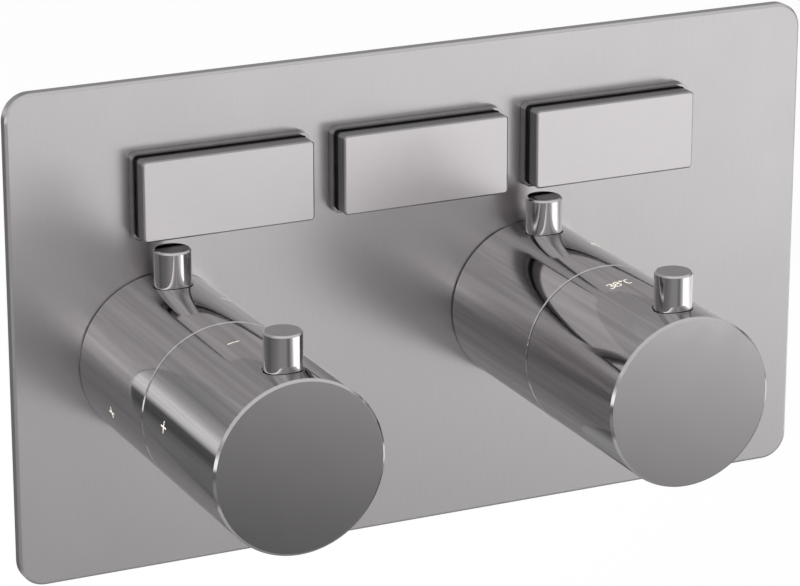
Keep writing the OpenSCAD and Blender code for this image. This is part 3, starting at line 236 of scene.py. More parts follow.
def fine_satin_chrome(look):
    """Chrome on a finely blasted button: even and bright in front, where it mirrors only what is close to
    it.
    The bevel and the sides get half the button's colour, which is painted shade, and are a little
    rougher."""
    material, tree, shader, coords = surface("fine_satin_chrome", Metallic=1.0)
    side = past_front(tree, coords, "button_cap_left", start_mm=0.05, end_mm=0.15)
    wiped = speckle(tree, coords, size_mm=7.0, rough=0.55)
    side_gloss = 0.9
    gloss = put(tree, "ShaderNodeMix", Factor=side, A=wiped, B=side_gloss).outputs[0]
    chromes = dimmed(look.button_colour, 0.97), dimmed(look.button_colour)
    feeds = wear(tree, shader, tone=wiped, colours=chromes, gloss=gloss, roughness=(0.31, 0.33))
    # Painted shade: the bevel and the sides get half the button's colour.
    front, shaded_flank = feeds["Base_Color"], dimmed(look.button_colour, 0.5)
    mixed = put(tree, "ShaderNodeMix", {"data_type": "RGBA"}, i0=side, i6=front, i7=shaded_flank).outputs[2]
    feed(tree, shader, Base_Color=mixed)
    blasted = speckle(tree, coords, size_mm=0.5)
    ease_edges(tree, shader, radius_mm=0.15, height=blasted, strength=0.04, depth_mm=0.004)
    return material


def cast_brass(look):
    """Hot brass cast in sand and tumbled: a grain of about 0.7 mm with a duller bloom in patches.
    The faces of the five ports are turned smooth, so they are brighter."""
    material, tree, shader, coords = surface("cast_brass", Metallic=1.0)
    grain = speckle(tree, coords, size_mm=0.7, detail=4.0, rough=0.6)
    bloom = speckle(tree, coords, size_mm=14.0)
    brasses = dimmed(look.brass_colour, (0.72, 0.68, 0.6)), dimmed(look.brass_colour)
    feeds = wear(tree, shader, tone=bloom, colours=brasses, gloss=grain, roughness=(0.34, 0.52))
    height = put(tree, "ShaderNodeSeparateXYZ", Vector=coords).outputs["Z"]
    near = {"operation": "COMPARE"}
    below, above = (
        put(tree, "ShaderNodeMath", near, i0=height, i1=corner.z, i2=0.4 * MM).outputs[0]
        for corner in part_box("valve_body")
    )
    either = {"operation": "ADD", "use_clamp": True}
    turned = put(tree, "ShaderNodeMath", either, i0=below, i1=above).outputs[0]
    turned_rough, turned_lift = 0.2, 0.5
    rough = put(tree, "ShaderNodeMix", Factor=turned, A=feeds["Roughness"], B=turned_rough).outputs[0]
    feed(tree, shader, Roughness=rough)
    lift = put(tree, "ShaderNodeMix", Factor=turned, A=grain, B=turned_lift).outputs[0]
    ease_edges(tree, shader, radius_mm=0.5, height=lift, strength=0.35, depth_mm=0.12)
    return material


def turned_brass(look):
    """Brass bar turned on a lathe and left bare: fine rings across the +Y axis of the cartridges and
    push valves, drawn 0.35 mm apart, which is coarser than they are."""
    material, tree, shader, coords = surface("turned_brass", Metallic=1.0)
    rings = speckle(tree, coords, size_mm=0.35, detail=2.0, drawn=(0.05, 1.0, 0.05))
    bloom = speckle(tree, coords, size_mm=8.0)
    brasses = dimmed(look.brass_colour, (0.85, 0.82, 0.76)), dimmed(look.brass_colour)
    wear(tree, shader, tone=bloom, colours=brasses, gloss=rings, roughness=(0.16, 0.3))
    ease_edges(tree, shader, radius_mm=0.25, height=rings, strength=0.12, depth_mm=0.02)
    return material


def zinc_plated_steel(look):
    """Bright zinc plated over the steel of screws, push rods and strainers: bluish and slightly
    cloudy."""
    material, tree, shader, coords = surface("zinc_plated_steel", Metallic=1.0)
    cloud = speckle(tree, coords, size_mm=1.6, detail=4.0, rough=0.6)
    greys = linear("#A9AEB3"), linear("#C6CACD")
    wear(tree, shader, tone=cloud, colours=greys, gloss=cloud, roughness=(0.22, 0.36))
    plated = speckle(tree, coords, size_mm=0.5)
    ease_edges(tree, shader, radius_mm=0.15, height=plated, strength=0.1, depth_mm=0.02)
    return material


def galvanised_sheet(look):
    """Hot dipped sheet steel of the mounting frame: flat spangles of about 5 mm in two greys."""
    material, tree, shader, coords = surface("galvanised_sheet", Metallic=1.0)
    spangle = put(tree, "ShaderNodeTexVoronoi", Vector=coords, Scale=1 / (5 * MM), Randomness=1.0)
    tone = put(tree, "ShaderNodeSeparateColor", Color=spangle.outputs["Color"]).outputs["Red"]
    greys = linear("#9CA1A5"), linear("#BCC1C4")
    wear(tree, shader, tone=tone, colours=greys, gloss=tone, roughness=(0.3, 0.46))
    dipped = speckle(tree, coords, size_mm=0.6)
    ease_edges(tree, shader, radius_mm=0.2, height=dipped, strength=0.12, depth_mm=0.02)
    return material


def drawn_spring_wire(look):
    """Stainless spring wire, drawn smooth, with a light sheen of oil."""
    material, tree, shader, coords = surface("drawn_spring_wire", Metallic=1.0)
    drawn = speckle(tree, coords, size_mm=0.6)
    greys = linear("#8F9295"), linear("#B4B7B9")
    wear(tree, shader, tone=drawn, colours=greys, gloss=drawn, roughness=(0.18, 0.32))
    return material


def black_acetal(look):
    """Injection moulded acetal in black: a waxy low gloss with a spark eroded grain of 0.4 mm."""
    material, tree, shader, coords = surface("black_acetal", IOR=1.48)
    grain = speckle(tree, coords, size_mm=0.4)
    flow = speckle(tree, coords, size_mm=6.0)
    blacks = linear("#17181A"), linear("#202224")
    wear(tree, shader, tone=flow, colours=blacks, gloss=grain, roughness=(0.36, 0.52))
    ease_edges(tree, shader, radius_mm=0.25, height=grain, strength=0.15, depth_mm=0.03)
    return material


def white_acetal(look):
    """Natural acetal of the cartridges, bushes and valve seats, injection moulded: milky and smooth,
    and a little light goes in."""
    material, tree, shader, coords = surface(
        "white_acetal", IOR=1.48, Subsurface_Weight=0.12, Subsurface_Scale=1.0 * MM
    )
    flow = speckle(tree, coords, size_mm=5.0)
    creams = linear("#D9D8D0"), linear("#E8E7E1")
    rubbed = speckle(tree, coords, size_mm=0.8)
    wear(tree, shader, tone=flow, colours=creams, gloss=rubbed, roughness=(0.28, 0.4))
    moulded = speckle(tree, coords, size_mm=0.5)
    ease_edges(tree, shader, radius_mm=0.25, height=moulded, strength=0.06, depth_mm=0.02)
    return material


def moulded_box_plastic(look):
    """Tough moulded ABS of the wall box: an even spark eroded grain of about 0.8 mm, with faint
    flow marks that run up the box."""
    material, tree, shader, coords = surface("moulded_box_plastic", IOR=1.53)
    flow = speckle(tree, coords, size_mm=26.0, detail=4.0, drawn=(1.0, 1.0, 0.35))
    plastics = dimmed(look.box_colour, 0.82), dimmed(look.box_colour)
    grain = speckle(tree, coords, size_mm=0.8)
    wear(tree, shader, tone=flow, colours=plastics, gloss=grain, roughness=(0.42, 0.6))
    ease_edges(tree, shader, radius_mm=0.5, height=grain, strength=0.22, depth_mm=0.06)
    return material


def pressed_rubber(look):
    """Pressed EPDM of the seals, rings and grommets: matt black with a grey bloom."""
    material, tree, shader, coords = surface("pressed_rubber", IOR=1.52)
    bloom = speckle(tree, coords, size_mm=3.5, detail=5.0, rough=0.6)
    blacks = linear("#161617"), linear("#2A2A2B")
    wear(tree, shader, tone=bloom, colours=blacks, gloss=bloom, roughness=(0.62, 0.8))
    pressed = speckle(tree, coords, size_mm=0.5)
    ease_edges(tree, shader, radius_mm=0.3, height=pressed, strength=0.2, depth_mm=0.04)
    return material


def closed_cell_foam(look):
    """Foam strip behind the cover plate, blown and cut: dark, dull, with cells of about 0.7 mm."""
    material, tree, shader, coords = surface("closed_cell_foam")
    cells = put(tree, "ShaderNodeTexVoronoi", Vector=coords, Scale=1 / (0.7 * MM)).outputs["Distance"]
    blacks = linear("#141415"), linear("#343536")
    wear(tree, shader, tone=cells, colours=blacks, gloss=cells, roughness=(0.95, 0.8))
    ease_edges(tree, shader, radius_mm=0.3, height=cells, strength=0.6, depth_mm=0.2)
    return material


def lapped_ceramic(look):
    """Alumina discs lapped flat: off white, hard and glossy, with faint pores."""
    material, tree, shader, coords = surface("lapped_ceramic", IOR=1.76)
    pores = speckle(tree, coords, size_mm=0.3, detail=2.0)
    whites = linear("#DCD8CF"), linear("#F0EDE6")
    wear(tree, shader, tone=pores, colours=whites, gloss=pores, roughness=(0.2, 0.12))
    ease_edges(tree, shader, radius_mm=0.15)
    return material


def drawn_copper(look):
    """Copper cup of the wax element: deep drawn, with brown patches where it was soldered."""
    material, tree, shader, coords = surface("drawn_copper", Metallic=1.0)
    patch = speckle(tree, coords, size_mm=4.0, detail=4.0, rough=0.6)
    coppers = linear("#9A5B3C"), linear("#D08A62")
    wear(tree, shader, tone=patch, colours=coppers, gloss=patch, roughness=(0.34, 0.2))
    drawn = speckle(tree, coords, size_mm=0.5)
    ease_edges(tree, shader, radius_mm=0.2, height=drawn, strength=0.1, depth_mm=0.02)
    return material


def printed_lacquer(look):
    """Pad printed lacquer of the marks: cream white, thin, slightly uneven in its gloss."""
    material, tree, shader, coords = surface("printed_lacquer")
    patchy = speckle(tree, coords, size_mm=0.5)
    creams = dimmed(look.mark_colour, 0.9), dimmed(look.mark_colour)
    wear(tree, shader, tone=patchy, colours=creams, gloss=patchy, roughness=(0.4, 0.6))
    return material


def pale_paint(studio):
    """Matt paint of the studio's floor. Its upper side takes the valve's shadow and turns to plain
    white further off. From below it is clear, so that the valve's underside shows."""
    material = bpy.data.materials.new("pale_paint")
    material.use_nodes = True
    tree = material.node_tree
    tree.nodes.clear()
    path = put(tree, "ShaderNodeLightPath").outputs
    either = {"operation": "MAXIMUM"}
    seen = path["Is Camera Ray"]
    for ray in ("Is Glossy Ray", "Is Transmission Ray"):
        seen = put(tree, "ShaderNodeMath", either, i0=seen, i1=path[ray]).outputs[0]
    coords = put(tree, "ShaderNodeTexCoord").outputs["Object"]
    distance = put(tree, "ShaderNodeVectorMath", {"operation": "LENGTH"}, i0=coords).outputs["Value"]
    # The share that shines by itself is 0.8 up to 0.5 m from the middle and 1 from 3 m on.
    shining = put(
        tree, "ShaderNodeMapRange", Value=distance, From_Min=0.5, From_Max=3.0, To_Min=0.8, To_Max=1.0
    ).outputs[0]
    share = put(tree, "ShaderNodeMath", {"operation": "MULTIPLY"}, i0=seen, i1=shining).outputs[0]
    matt = put(tree, "ShaderNodeBsdfDiffuse", Color=dimmed(studio.floor_colour)).outputs[0]
    glow = put(tree, "ShaderNodeEmission", Color=dimmed(studio.floor_colour), Strength=1.0).outputs[0]
    upper = put(tree, "ShaderNodeMixShader", Fac=share, i1=matt, i2=glow).outputs[0]
    under = put(tree, "ShaderNodeNewGeometry").outputs["Backfacing"]
    clear = put(tree, "ShaderNodeBsdfTransparent").outputs[0]
    both = put(tree, "ShaderNodeMixShader", Fac=under, i1=upper, i2=clear).outputs[0]
    put(tree, "ShaderNodeOutputMaterial", Surface=both)
    return material


# The CAD nodes that get each finish
FINISHES = {
    painted_shade_chrome: [f"button_bezel_{b}" for b in BUTTONS],
    polished_chrome: [f"{knob}_lever" for knob in KNOBS],
    drawn_chrome: [*KNOBS],
    satin_chrome_plate: ["cover_plate"],
    fine_satin_chrome: [f"button_cap_{b}" for b in BUTTONS],
    cast_brass: ["valve_body"],
    turned_brass: [
        *(f"push_valve_{b}" for b in BUTTONS),
        "flow_retaining_nut",
        "thermostat_retaining_nut",
        "flow_spindle",
        "temperature_spindle",
        "flow_limit_sleeve",
        "temperature_limit_sleeve",
        "setting_nut",
    ],
    zinc_plated_steel: [
        "fixing_screws",
        *(f"{knob}_grub_screw" for knob in KNOBS),
        *(f"push_rod_{b}" for b in BUTTONS),
        "inlet_strainers",
    ],
    galvanised_sheet: ["mounting_frame"],
    drawn_spring_wire: ["push_springs", "overload_spring", "return_spring", "check_valve_springs"],
    black_acetal: [f"button_skirt_{b}" for b in BUTTONS],
    white_acetal: [
        "flow_cartridge",
        "thermostat_cartridge",
        "mixing_shuttle",
        "ring_bushes",
        "check_valves",
        "hot_poppet",
        "cold_poppet",
    ],
    moulded_box_plastic: ["wall_box"],
    pressed_rubber: ["flow_base_seal", "neck_seals", "port_grommets", "stud_grips", "cartridge_o_rings"],
    closed_cell_foam: ["plate_gasket"],
    lapped_ceramic: ["flow_moving_disc", "flow_fixed_disc"],
    drawn_copper: ["wax_element"],
}


# Shapes


def add_object(name, data):
    """A new object at the origin, in the scene's own collection."""
    made = bpy.data.objects.new(name, data)
    bpy.context.scene.collection.objects.link(made)
    return made


def make_piece(name, verts, faces, body, material):
    """A mesh piece from arrays of corners and four-sided faces, riding on a CAD body."""
    mesh = bpy.data.meshes.new(name)
    mesh.from_pydata(verts.tolist(), [], faces.tolist())
    mesh.validate()
    mesh.materials.append(material)
    piece = add_object(name, mesh)
    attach(piece, body)
    return piece


def tube_faces(count, around, closed):
    """The quads of a grid of count rings with around corners each, which run counterclockwise about
    the path. They are wrapped round the ring, and round the path too if it is closed. Each end of an
    open path gets quads that share the ring's first corner, so around is even."""
    rows = np.arange(count if closed else count - 1)[:, None]
    cols = np.arange(around)[None, :]
    after, side = (rows + 1) % count * around, (cols + 1) % around
    here = rows * around
    quads = np.stack([here + cols, here + side, after + side, after + cols], -1).reshape(-1, 4)
    if closed:
        return quads
    k = np.arange(1, around - 2, 2)[:, None]
    cap = np.hstack([0 * k, k, k + 1, k + 2])
    return np.vstack([quads, cap[:, ::-1], cap + (count - 1) * around])


def ribbon(path, width, low, high, closed):
    """A flat stroke along a plane path: at each point the tangent t is turned by 90 degrees to n, and
    the four corners are path + n*width/2 and path - n*width/2, at the heights low and high."""
    if closed:
        tangent = np.roll(path, -1, 0) - np.roll(path, 1, 0)
    else:
        tangent = np.gradient(path, axis=0)
    tangent /= np.linalg.norm(tangent, axis=1)[:, None]
    side = np.stack([-tangent[:, 1], tangent[:, 0]], 1) * width / 2
    left, right = path + side, path - side
    flat = np.zeros(len(path))
    corners = [
        np.column_stack([left, flat + low]),
        np.column_stack([left, flat + high]),
        np.column_stack([right, flat + high]),
        np.column_stack([right, flat + low]),
    ]
    return np.stack(corners, 1).reshape(-1, 3), tube_faces(len(path), 4, closed)


def arc(cx, cy, rx, ry, start, end, count=24):
    """Points on an ellipse: centre + (rx*cos t, ry*sin t), with t from start to end in degrees."""
    t = np.radians(np.linspace(start, end, count))
    return np.column_stack([cx + rx * np.cos(t), cy + ry * np.sin(t)])


def ring(cx, cy, rx, ry, count=28):
    """A whole ellipse, without its repeated last point."""
    return arc(cx, cy, rx, ry, 0, 360, count + 1)[:-1]


def bar(x0, y0, x1, y1, count=9):
    """Points evenly along a straight stroke."""
    s = np.linspace(0, 1, count)[:, None]
    return (1 - s) * np.array([x0, y0]) + s * np.array([x1, y1])


# The stroke of a three, and each sign as its width and its strokes, which are (points, closed), all
# in shares of the sign's height.
BOWLS = np.vstack([arc(0, 0.76, 0.2, 0.22, 150, -80), arc(0, 0.27, 0.23, 0.25, 80, -150)])
SIGNS = {
    "three": (0.5, [(BOWLS, False)]),
    "eight": (0.5, [(ring(0, 0.76, 0.19, 0.21), True), (ring(0, 0.27, 0.23, 0.26), True)]),
    "degree": (0.3, [(ring(0, 0.86, 0.1, 0.11), True)]),
    "c": (0.5, [(arc(0, 0.5, 0.24, 0.47, 50, 310), False)]),
    "minus": (0.9, [(bar(-0.42, 0.5, 0.42, 0.5), False)]),
    "plus": (0.9, [(bar(-0.42, 0.5, 0.42, 0.5), False), (bar(0, 0.08, 0, 0.92), False)]),
}
# How far the marks' lacquer stands out of the knob, and how far it reaches in.
LACQUER = 0.03 * MM


def printed_signs(signs, height, stroke, gap):
    """The strokes of a row of signs in a plane, centred on 0, as one mesh: each sign's strokes are
    scaled by the height and moved on by the widths of the signs before it."""
    wide = [SIGNS[sign][0] * height for sign in signs]
    ahead = np.cumsum([0] + [width + gap for width in wide[:-1]])
    full = ahead[-1] + wide[-1]
    verts, faces, count = [], [], 0
    for sign, start, width in zip(signs, ahead, wide):
        for path, closed in SIGNS[sign][1]:
            placed = path * height + np.array([start + width / 2 - full / 2, -height / 2])
            corners, quads = ribbon(placed, stroke, -LACQUER, LACQUER, closed)
            verts.append(corners)
            faces.append(quads + count)
            count += len(corners)
    return np.vstack(verts), np.vstack(faces)


def wrap_on_knob(flat, node, angle, y):
    """Lays plane points (a, b, h) on a knob: the point is at radius r + h and at the angle
    angle + a/r from the top, towards +X, and b goes along +Y."""
    low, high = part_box(node)
    cx, cz, r = (low.x + high.x) / 2, (low.z + high.z) / 2, (high.x - low.x) / 2
    turn = math.radians(angle) + flat[:, 0] / r
    out = r + flat[:, 2]
    return np.column_stack([cx + out * np.sin(turn), y + flat[:, 1], cz + out * np.cos(turn)])


# The ridge's corners: out from the wall in shares of its height, and along the bore in pitches.
RIDGE = np.array([[0.05, 0.42], [-1.0, 0.08], [-1.0, -0.08], [0.05, -0.42]])
RIDGE_STEPS = 48


def thread_ridge(centre, up, radius, length, pitch, height):
    """One helical ridge in a bore: the angle u runs through length/pitch - 1 turns, and the place
    along the axis is half a pitch plus u/(2*pi) pitches. Across it a blunt triangle stands in from
    the wall by height, which fades to almost nothing over half a turn at both ends."""
    turns = length / pitch - 1
    count = int(turns * RIDGE_STEPS)
    u = np.linspace(0, turns * 2 * np.pi, count)
    fade = np.clip(np.minimum(u, u[-1] - u) / np.pi, 0.02, 1)
    along = u / (2 * np.pi) * pitch + pitch / 2
    r = radius + RIDGE[None, :, 0] * height * fade[:, None]
    z = centre[2] - up * (along[:, None] + RIDGE[None, :, 1] * pitch * fade[:, None])
    x = centre[0] + r * np.cos(u)[:, None]
    y = centre[1] + up * r * np.sin(u)[:, None]
    return np.stack([x, y, z], -1).reshape(-1, 3), tube_faces(count, len(RIDGE), False)


CURL_STEPS = 28
WIRE_CORNERS = 10


def coil_spring(end, axis, outer, wire, curls, length):
    """A compression spring that runs back from its fixed end along -axis. At u curls the wire's
    middle is at the radius outer - wire/2 and the angle 2*pi*u. It climbs by one wire over the first
    and over the last curl, which lie on their neighbours, and evenly between. The wire's corner at v
    stands off that middle by wire/2 * (cos v outwards, -sin v along the climb)."""
    u = np.linspace(0, curls, curls * CURL_STEPS + 1)
    full = length / wire
    rise = np.interp(u, [0, 1, curls - 1, curls], [0.5, 1.5, full - 1.5, full - 0.5]) * wire
    v = np.linspace(0, 2 * np.pi, WIRE_CORNERS, endpoint=False)[None, :]
    climb = -np.array(axis, float)
    first = np.roll(climb, 1)
    second = np.cross(climb, first)
    turn = 2 * np.pi * u[:, None]
    out = np.cos(turn) * first + np.sin(turn) * second
    reach = outer - wire / 2 + wire / 2 * np.cos(v)
    height = rise[:, None] - wire / 2 * np.sin(v)
    verts = np.array(end) + reach[..., None] * out[:, None, :] + height[..., None] * climb
    return verts.reshape(-1, 3), tube_faces(len(u), WIRE_CORNERS, False)


def spring_room(node, centred_on, axis):
    """The fixed end, the outer radius and the length of a spring in the box of its CAD node. The node
    may hold several springs side by side along X, so X comes from what the spring is centred on."""
    low, high = (np.array(corner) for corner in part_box(node))
    along = axis.index(1)
    # Y and Z are axes 1 and 2, so this is the one of them that the spring doesn't run along.
    across = 3 - along
    end = (low + high) / 2
    end[0] = sum(corner.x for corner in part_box(centred_on)) / 2
    end[along] = high[along]
    return end, (high[across] - low[across]) / 2, high[along] - low[along]


# Settings that a user would change


class FinishSettings(bpy.types.PropertyGroup):
    """Colours of the finishes"""

    chrome_colour: FloatVectorProperty(
        name="Chrome", description="Colour that the chrome gives back",
        subtype="COLOR", default=linear("#CDCACB")[:3], min=0, max=1,
    )
    button_colour: FloatVectorProperty(
        name="Buttons", description="Colour that the buttons' satin chrome gives back",
        subtype="COLOR", default=linear("#DFDBDC")[:3], min=0, max=1,
    )
    brass_colour: FloatVectorProperty(
        name="Brass", description="Colour of bare brass",
        subtype="COLOR", default=linear("#D9B66C")[:3], min=0, max=1,
    )
    box_colour: FloatVectorProperty(
        name="Wall box", description="Colour of the wall box's plastic",
        subtype="COLOR", default=linear("#2F5C8C")[:3], min=0, max=1,
    )
    mark_colour: FloatVectorProperty(
        name="Marks", description="Colour of the printed marks",
        subtype="COLOR", default=linear("#F0E9DC")[:3], min=0, max=1,
    )


class MarkSettings(bpy.types.PropertyGroup):
    """Sizes and places of the printed marks"""

    text_height: FloatProperty(
        name="Number height", description="Height of the numbers",
        default=3.5 * MM, min=2 * MM, max=8 * MM, unit="LENGTH",
    )
    sign_height: FloatProperty(
        name="Sign height", description="Height of the plus and minus signs",
        default=4.2 * MM, min=2 * MM, max=8 * MM, unit="LENGTH",
    )
    stroke: FloatProperty(
        name="Stroke", description="Width of a printed line",
        default=0.45 * MM, min=0.2 * MM, max=1 * MM, unit="LENGTH",
    )
    gap: FloatProperty(
        name="Gap", description="Space between two signs",
        default=0.35 * MM, min=0.1 * MM, max=2 * MM, unit="LENGTH",
    )
    handle_set: FloatProperty(
        name="Handle mark", description="Distance of the front handles' marks from the wall",
        default=69.5 * MM, min=58 * MM, max=98 * MM, unit="LENGTH",
    )
    ring_set: FloatProperty(
        name="Ring mark", description="Distance of the rear rings' marks from the wall",
        default=28 * MM, min=12 * MM, max=48 * MM, unit="LENGTH",
    )


class ThreadSettings(bpy.types.PropertyGroup):
    """Sizes of the ports' pipe thread"""

    pitch: FloatProperty(
        name="Pitch", description="Distance from one thread to the next",
        default=1.814 * MM, min=1 * MM, max=3 * MM, unit="LENGTH",
    )
    height: FloatProperty(
        name="Depth", description="How far the thread stands in from the bore",
        default=0.55 * MM, min=0.2 * MM, max=1 * MM, unit="LENGTH",
    )


class SpringSettings(bpy.types.PropertyGroup):
    """Wires and curls of the springs that work"""

    push_wire: FloatProperty(
        name="Push wire", description="Wire of the buttons' springs",
        default=1.1 * MM, min=0.5 * MM, max=1.5 * MM, unit="LENGTH",
    )
    push_curls: IntProperty(
        name="Push curls", description="Curls of the buttons' springs", default=8, min=4, max=10
    )
    return_wire: FloatProperty(
        name="Return wire", description="Wire of the thermostat's spring",
        default=1.2 * MM, min=0.5 * MM, max=1.5 * MM, unit="LENGTH",
    )
    return_curls: IntProperty(
        name="Return curls", description="Curls of the thermostat's spring", default=5, min=4, max=10
    )
    check_wire: FloatProperty(
        name="Check wire", description="Wire of the check valves' springs",
        default=0.7 * MM, min=0.4 * MM, max=1 * MM, unit="LENGTH",
    )
    check_curls: IntProperty(
        name="Check curls", description="Curls of the check valves' springs", default=6, min=4, max=10
    )


class StudioSettings(bpy.types.PropertyGroup):
    """The floor, the lamp and the camera"""

    floor_drop: FloatProperty(
        name="Floor", description="Distance of the floor below the valve's middle",
        default=0.30, min=0.1, max=1.5, unit="LENGTH",
    )
    floor_colour: FloatVectorProperty(
        name="Floor colour", description="Colour of the plain floor",
        subtype="COLOR", default=linear("#FFFFFF")[:3], min=0, max=1,
    )
    lens: FloatProperty(
        name="Lens", description="Focal length of the camera in mm",
        default=169.2, min=35, max=300, subtype="DISTANCE_CAMERA",
    )
    azimuth: FloatProperty(
        name="Azimuth", description="How far the camera stands to the left",
        default=math.radians(25.2), subtype="ANGLE",
    )
    elevation: FloatProperty(
        name="Elevation", description="How far the camera looks down",
        default=math.radians(18.51), subtype="ANGLE",
    )
    fill_watts: FloatProperty(
        name="Fill", description="Power of the large soft lamp", default=68.0, min=0, unit="POWER"
    )


# Operators for the finishes, marks, threads and springs


class VALVE_OT_finishes(bpy.types.Operator):
    """Give every CAD node of the valve its finish"""

    bl_idname = "valve.finishes"
    bl_label = "Finishes"

    def execute(self, context):
        look = context.scene.valve_finish
        for finish, names in FINISHES.items():
            material = finish(look)
            for name in names:
                slots = frame["nodes"][name].data.materials
                slots.clear()
                slots.append(material)
        bare = set(frame["nodes"]) - {name for names in FINISHES.values() for name in names}
        if bare:
            raise RuntimeError(f"no finish for {sorted(bare)}")
        return {"FINISHED"}


# The signs of 38 degrees, at which the temperature handle and its ring are set.
WARM = ("three", "eight", "degree", "c")
# Each mark's piece, its signs, its knob, the settings for its height and its distance from the wall,
# and its angle from the knob's top towards +X, in degrees.
MARKS = [
    ("flow_handle_minus", ("minus",), "flow_handle", "sign_height", "handle_set", -9),
    ("flow_handle_plus", ("plus",), "flow_handle", "sign_height", "handle_set", -82),
    ("temperature_handle_mark", WARM, "temperature_handle", "text_height", "handle_set", -8),
    ("flow_ring_minus", ("minus",), "flow_ring", "sign_height", "ring_set", 26),
    ("flow_ring_plus", ("plus",), "flow_ring", "sign_height", "ring_set", -104),
    ("limit_ring_mark", WARM, "limit_ring", "text_height", "ring_set", 28),
]


class VALVE_OT_marks(bpy.types.Operator):
    """Print the numbers and signs on the handles and rings"""

    bl_idname = "valve.marks"
    bl_label = "Printed marks"

    def execute(self, context):
        marks = context.scene.valve_marks
        lacquer = printed_lacquer(context.scene.valve_finish)
        for name, signs, knob, height, reach, angle in MARKS:
            flat, faces = printed_signs(signs, getattr(marks, height), marks.stroke, marks.gap)
            verts = wrap_on_knob(flat, knob, angle, -getattr(marks, reach))
            make_piece(name, verts, faces, f"{knob}_group", lacquer)
        return {"FINISHED"}


class VALVE_OT_threads(bpy.types.Operator):
    """Cut the look of a pipe thread into the five ports"""

    bl_idname = "valve.threads"
    bl_label = "Port threads"

    def execute(self, context):
        thread = context.scene.valve_thread
        brass = frame["nodes"]["valve_body"].data.materials[0]
        low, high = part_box("valve_body")
        for mount in frame["record"]["mounts"]:
            if mount["kind"] != "threaded_hole":
                continue
            up = mount["axis"][2]
            bore, length = (mount["dims"][key] * MM for key in ("r_mm", "length_mm"))
            mouth = np.array(mount["pos_m"])
            mouth[2] = high.z if up > 0 else low.z
            verts, faces = thread_ridge(mouth, up, bore, length, thread.pitch, thread.height)
            make_piece(mount["name"] + "_thread", verts, faces, "valve", brass)
        return {"FINISHED"}


# Each sort of spring: the CAD node that holds it, and the axis that it is pressed along.
SPRING_SORTS = {
    "push": ("push_springs", (0, 1, 0)),
    "return": ("return_spring", (0, 1, 0)),
    "check": ("check_valve_springs", (0, 0, 1)),
}
# Each spring's piece, its sort, the CAD node that it is centred on, and the joint that presses it.
SPRINGS = [
    *((f"push_spring_{b}", "push", f"push_rod_{b}", f"press_{b}_button") for b in BUTTONS),
    ("return_spring_coil", "return", "return_spring", "slide_thermostat"),
    ("hot_check_spring", "check", "hot_poppet", "open_hot_check_valve"),
    ("cold_check_spring", "check", "cold_poppet", "open_cold_check_valve"),
]


class VALVE_OT_springs(bpy.types.Operator):
    """Wind the springs that give way when a button, a check valve or the thermostat moves"""

    bl_idname = "valve.springs"
    bl_label = "Springs"

    def execute(self, context):
        spring = context.scene.valve_spring
        steel = frame["nodes"]["overload_spring"].data.materials[0]
        for name, sort, centred_on, joint in SPRINGS:
            node, axis = SPRING_SORTS[sort]
            end, outer, length = spring_room(node, centred_on, axis)
            wire, curls = (getattr(spring, f"{sort}_{key}") for key in ("wire", "curls"))
            verts, faces = coil_spring(end, axis, outer, wire, curls, length)
            piece = make_piece(name, verts, faces, "valve", steel)
            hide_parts(node)
            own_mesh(piece)
        return {"FINISHED"}


# Operator for the studio


class VALVE_OT_studio(bpy.types.Operator):
    """Set up the plain floor, the soft light and the camera"""

    bl_idname = "valve.studio"
    bl_label = "Studio"

    def execute(self, context):
        studio = context.scene.valve_studio
        studio_floor(studio)
        studio_world(context.scene)
        studio_lamp(studio)
        studio_camera(context.scene, studio)
        return {"FINISHED"}


# The radius of the floor and of the face in its middle, and the count of its rings and of the
# corners in each.
FLOOR_RADIUS, MIDDLE_RADIUS = 12.0, 0.01
FLOOR_RINGS, FLOOR_CORNERS = 8, 64


def studio_floor(studio):
    """A flat disc: points are (s*cos t, s*sin t) for s in equal rings and t all round."""
    s = np.linspace(MIDDLE_RADIUS, FLOOR_RADIUS, FLOOR_RINGS)[:, None]
    t = np.linspace(0, 2 * np.pi, FLOOR_CORNERS, endpoint=False)[None, :]
    z = np.full((FLOOR_RINGS, FLOOR_CORNERS), -studio.floor_drop)
    verts = np.stack([s * np.cos(t), s * np.sin(t), z], -1).reshape(-1, 3)
    here, col = np.arange(FLOOR_RINGS - 1)[:, None] * FLOOR_CORNERS, np.arange(FLOOR_CORNERS)[None, :]
    after, side = here + FLOOR_CORNERS, (col + 1) % FLOOR_CORNERS
    quads = np.stack([here + col, after + col, after + side, here + side], -1).reshape(-1, 4)
    mesh = bpy.data.meshes.new("studio_floor")
    mesh.from_pydata(verts.tolist(), [], [*quads.tolist(), list(range(FLOOR_CORNERS))])
    mesh.materials.append(pale_paint(studio))
    floor = add_object("studio_floor", mesh)
    floor.visible_glossy = False


# The studio's two walls as (height, level). A direction's height is its z plus TILT times |x|, how
# far it leans to either side, and runs from -1 to 1. What is higher counts as 1.
TILT = 0.25
LEFT_WALL = [
    (-1.0, 0.45), (-0.55, 0.6), (-0.47, 0.22), (-0.3, 0.33), (-0.18, 0.32), (-0.08, 0.16), (0.0, 0.2),
    (0.06, 1.45), (0.17, 1.55), (0.25, 0.85), (0.34, 0.48), (0.44, 0.62), (0.51, 0.85), (0.62, 0.75),
    (1.0, 0.85),
]
RIGHT_WALL = [
    (-1.0, 0.5), (-0.55, 0.5), (-0.45, 0.4), (-0.38, 0.19), (-0.29, 0.16), (-0.255, 0.33),
    (-0.225, 0.54), (-0.2, 0.75), (-0.18, 1.8), (-0.09, 1.8), (-0.06, 0.5), (0.02, 0.9), (0.14, 0.95),
    (0.28, 0.75), (0.38, 0.45), (0.46, 0.32), (0.52, 0.5), (0.62, 0.8), (1.0, 0.85),
]
# The walls blend into each other between these places along X. From the first to the second place
# along Y, the light falls to its share behind the valve.
WALL_SEAM = (-0.12, 0.12)
BEHIND = (-0.1, 0.3)
BEHIND_SHARE = 0.6


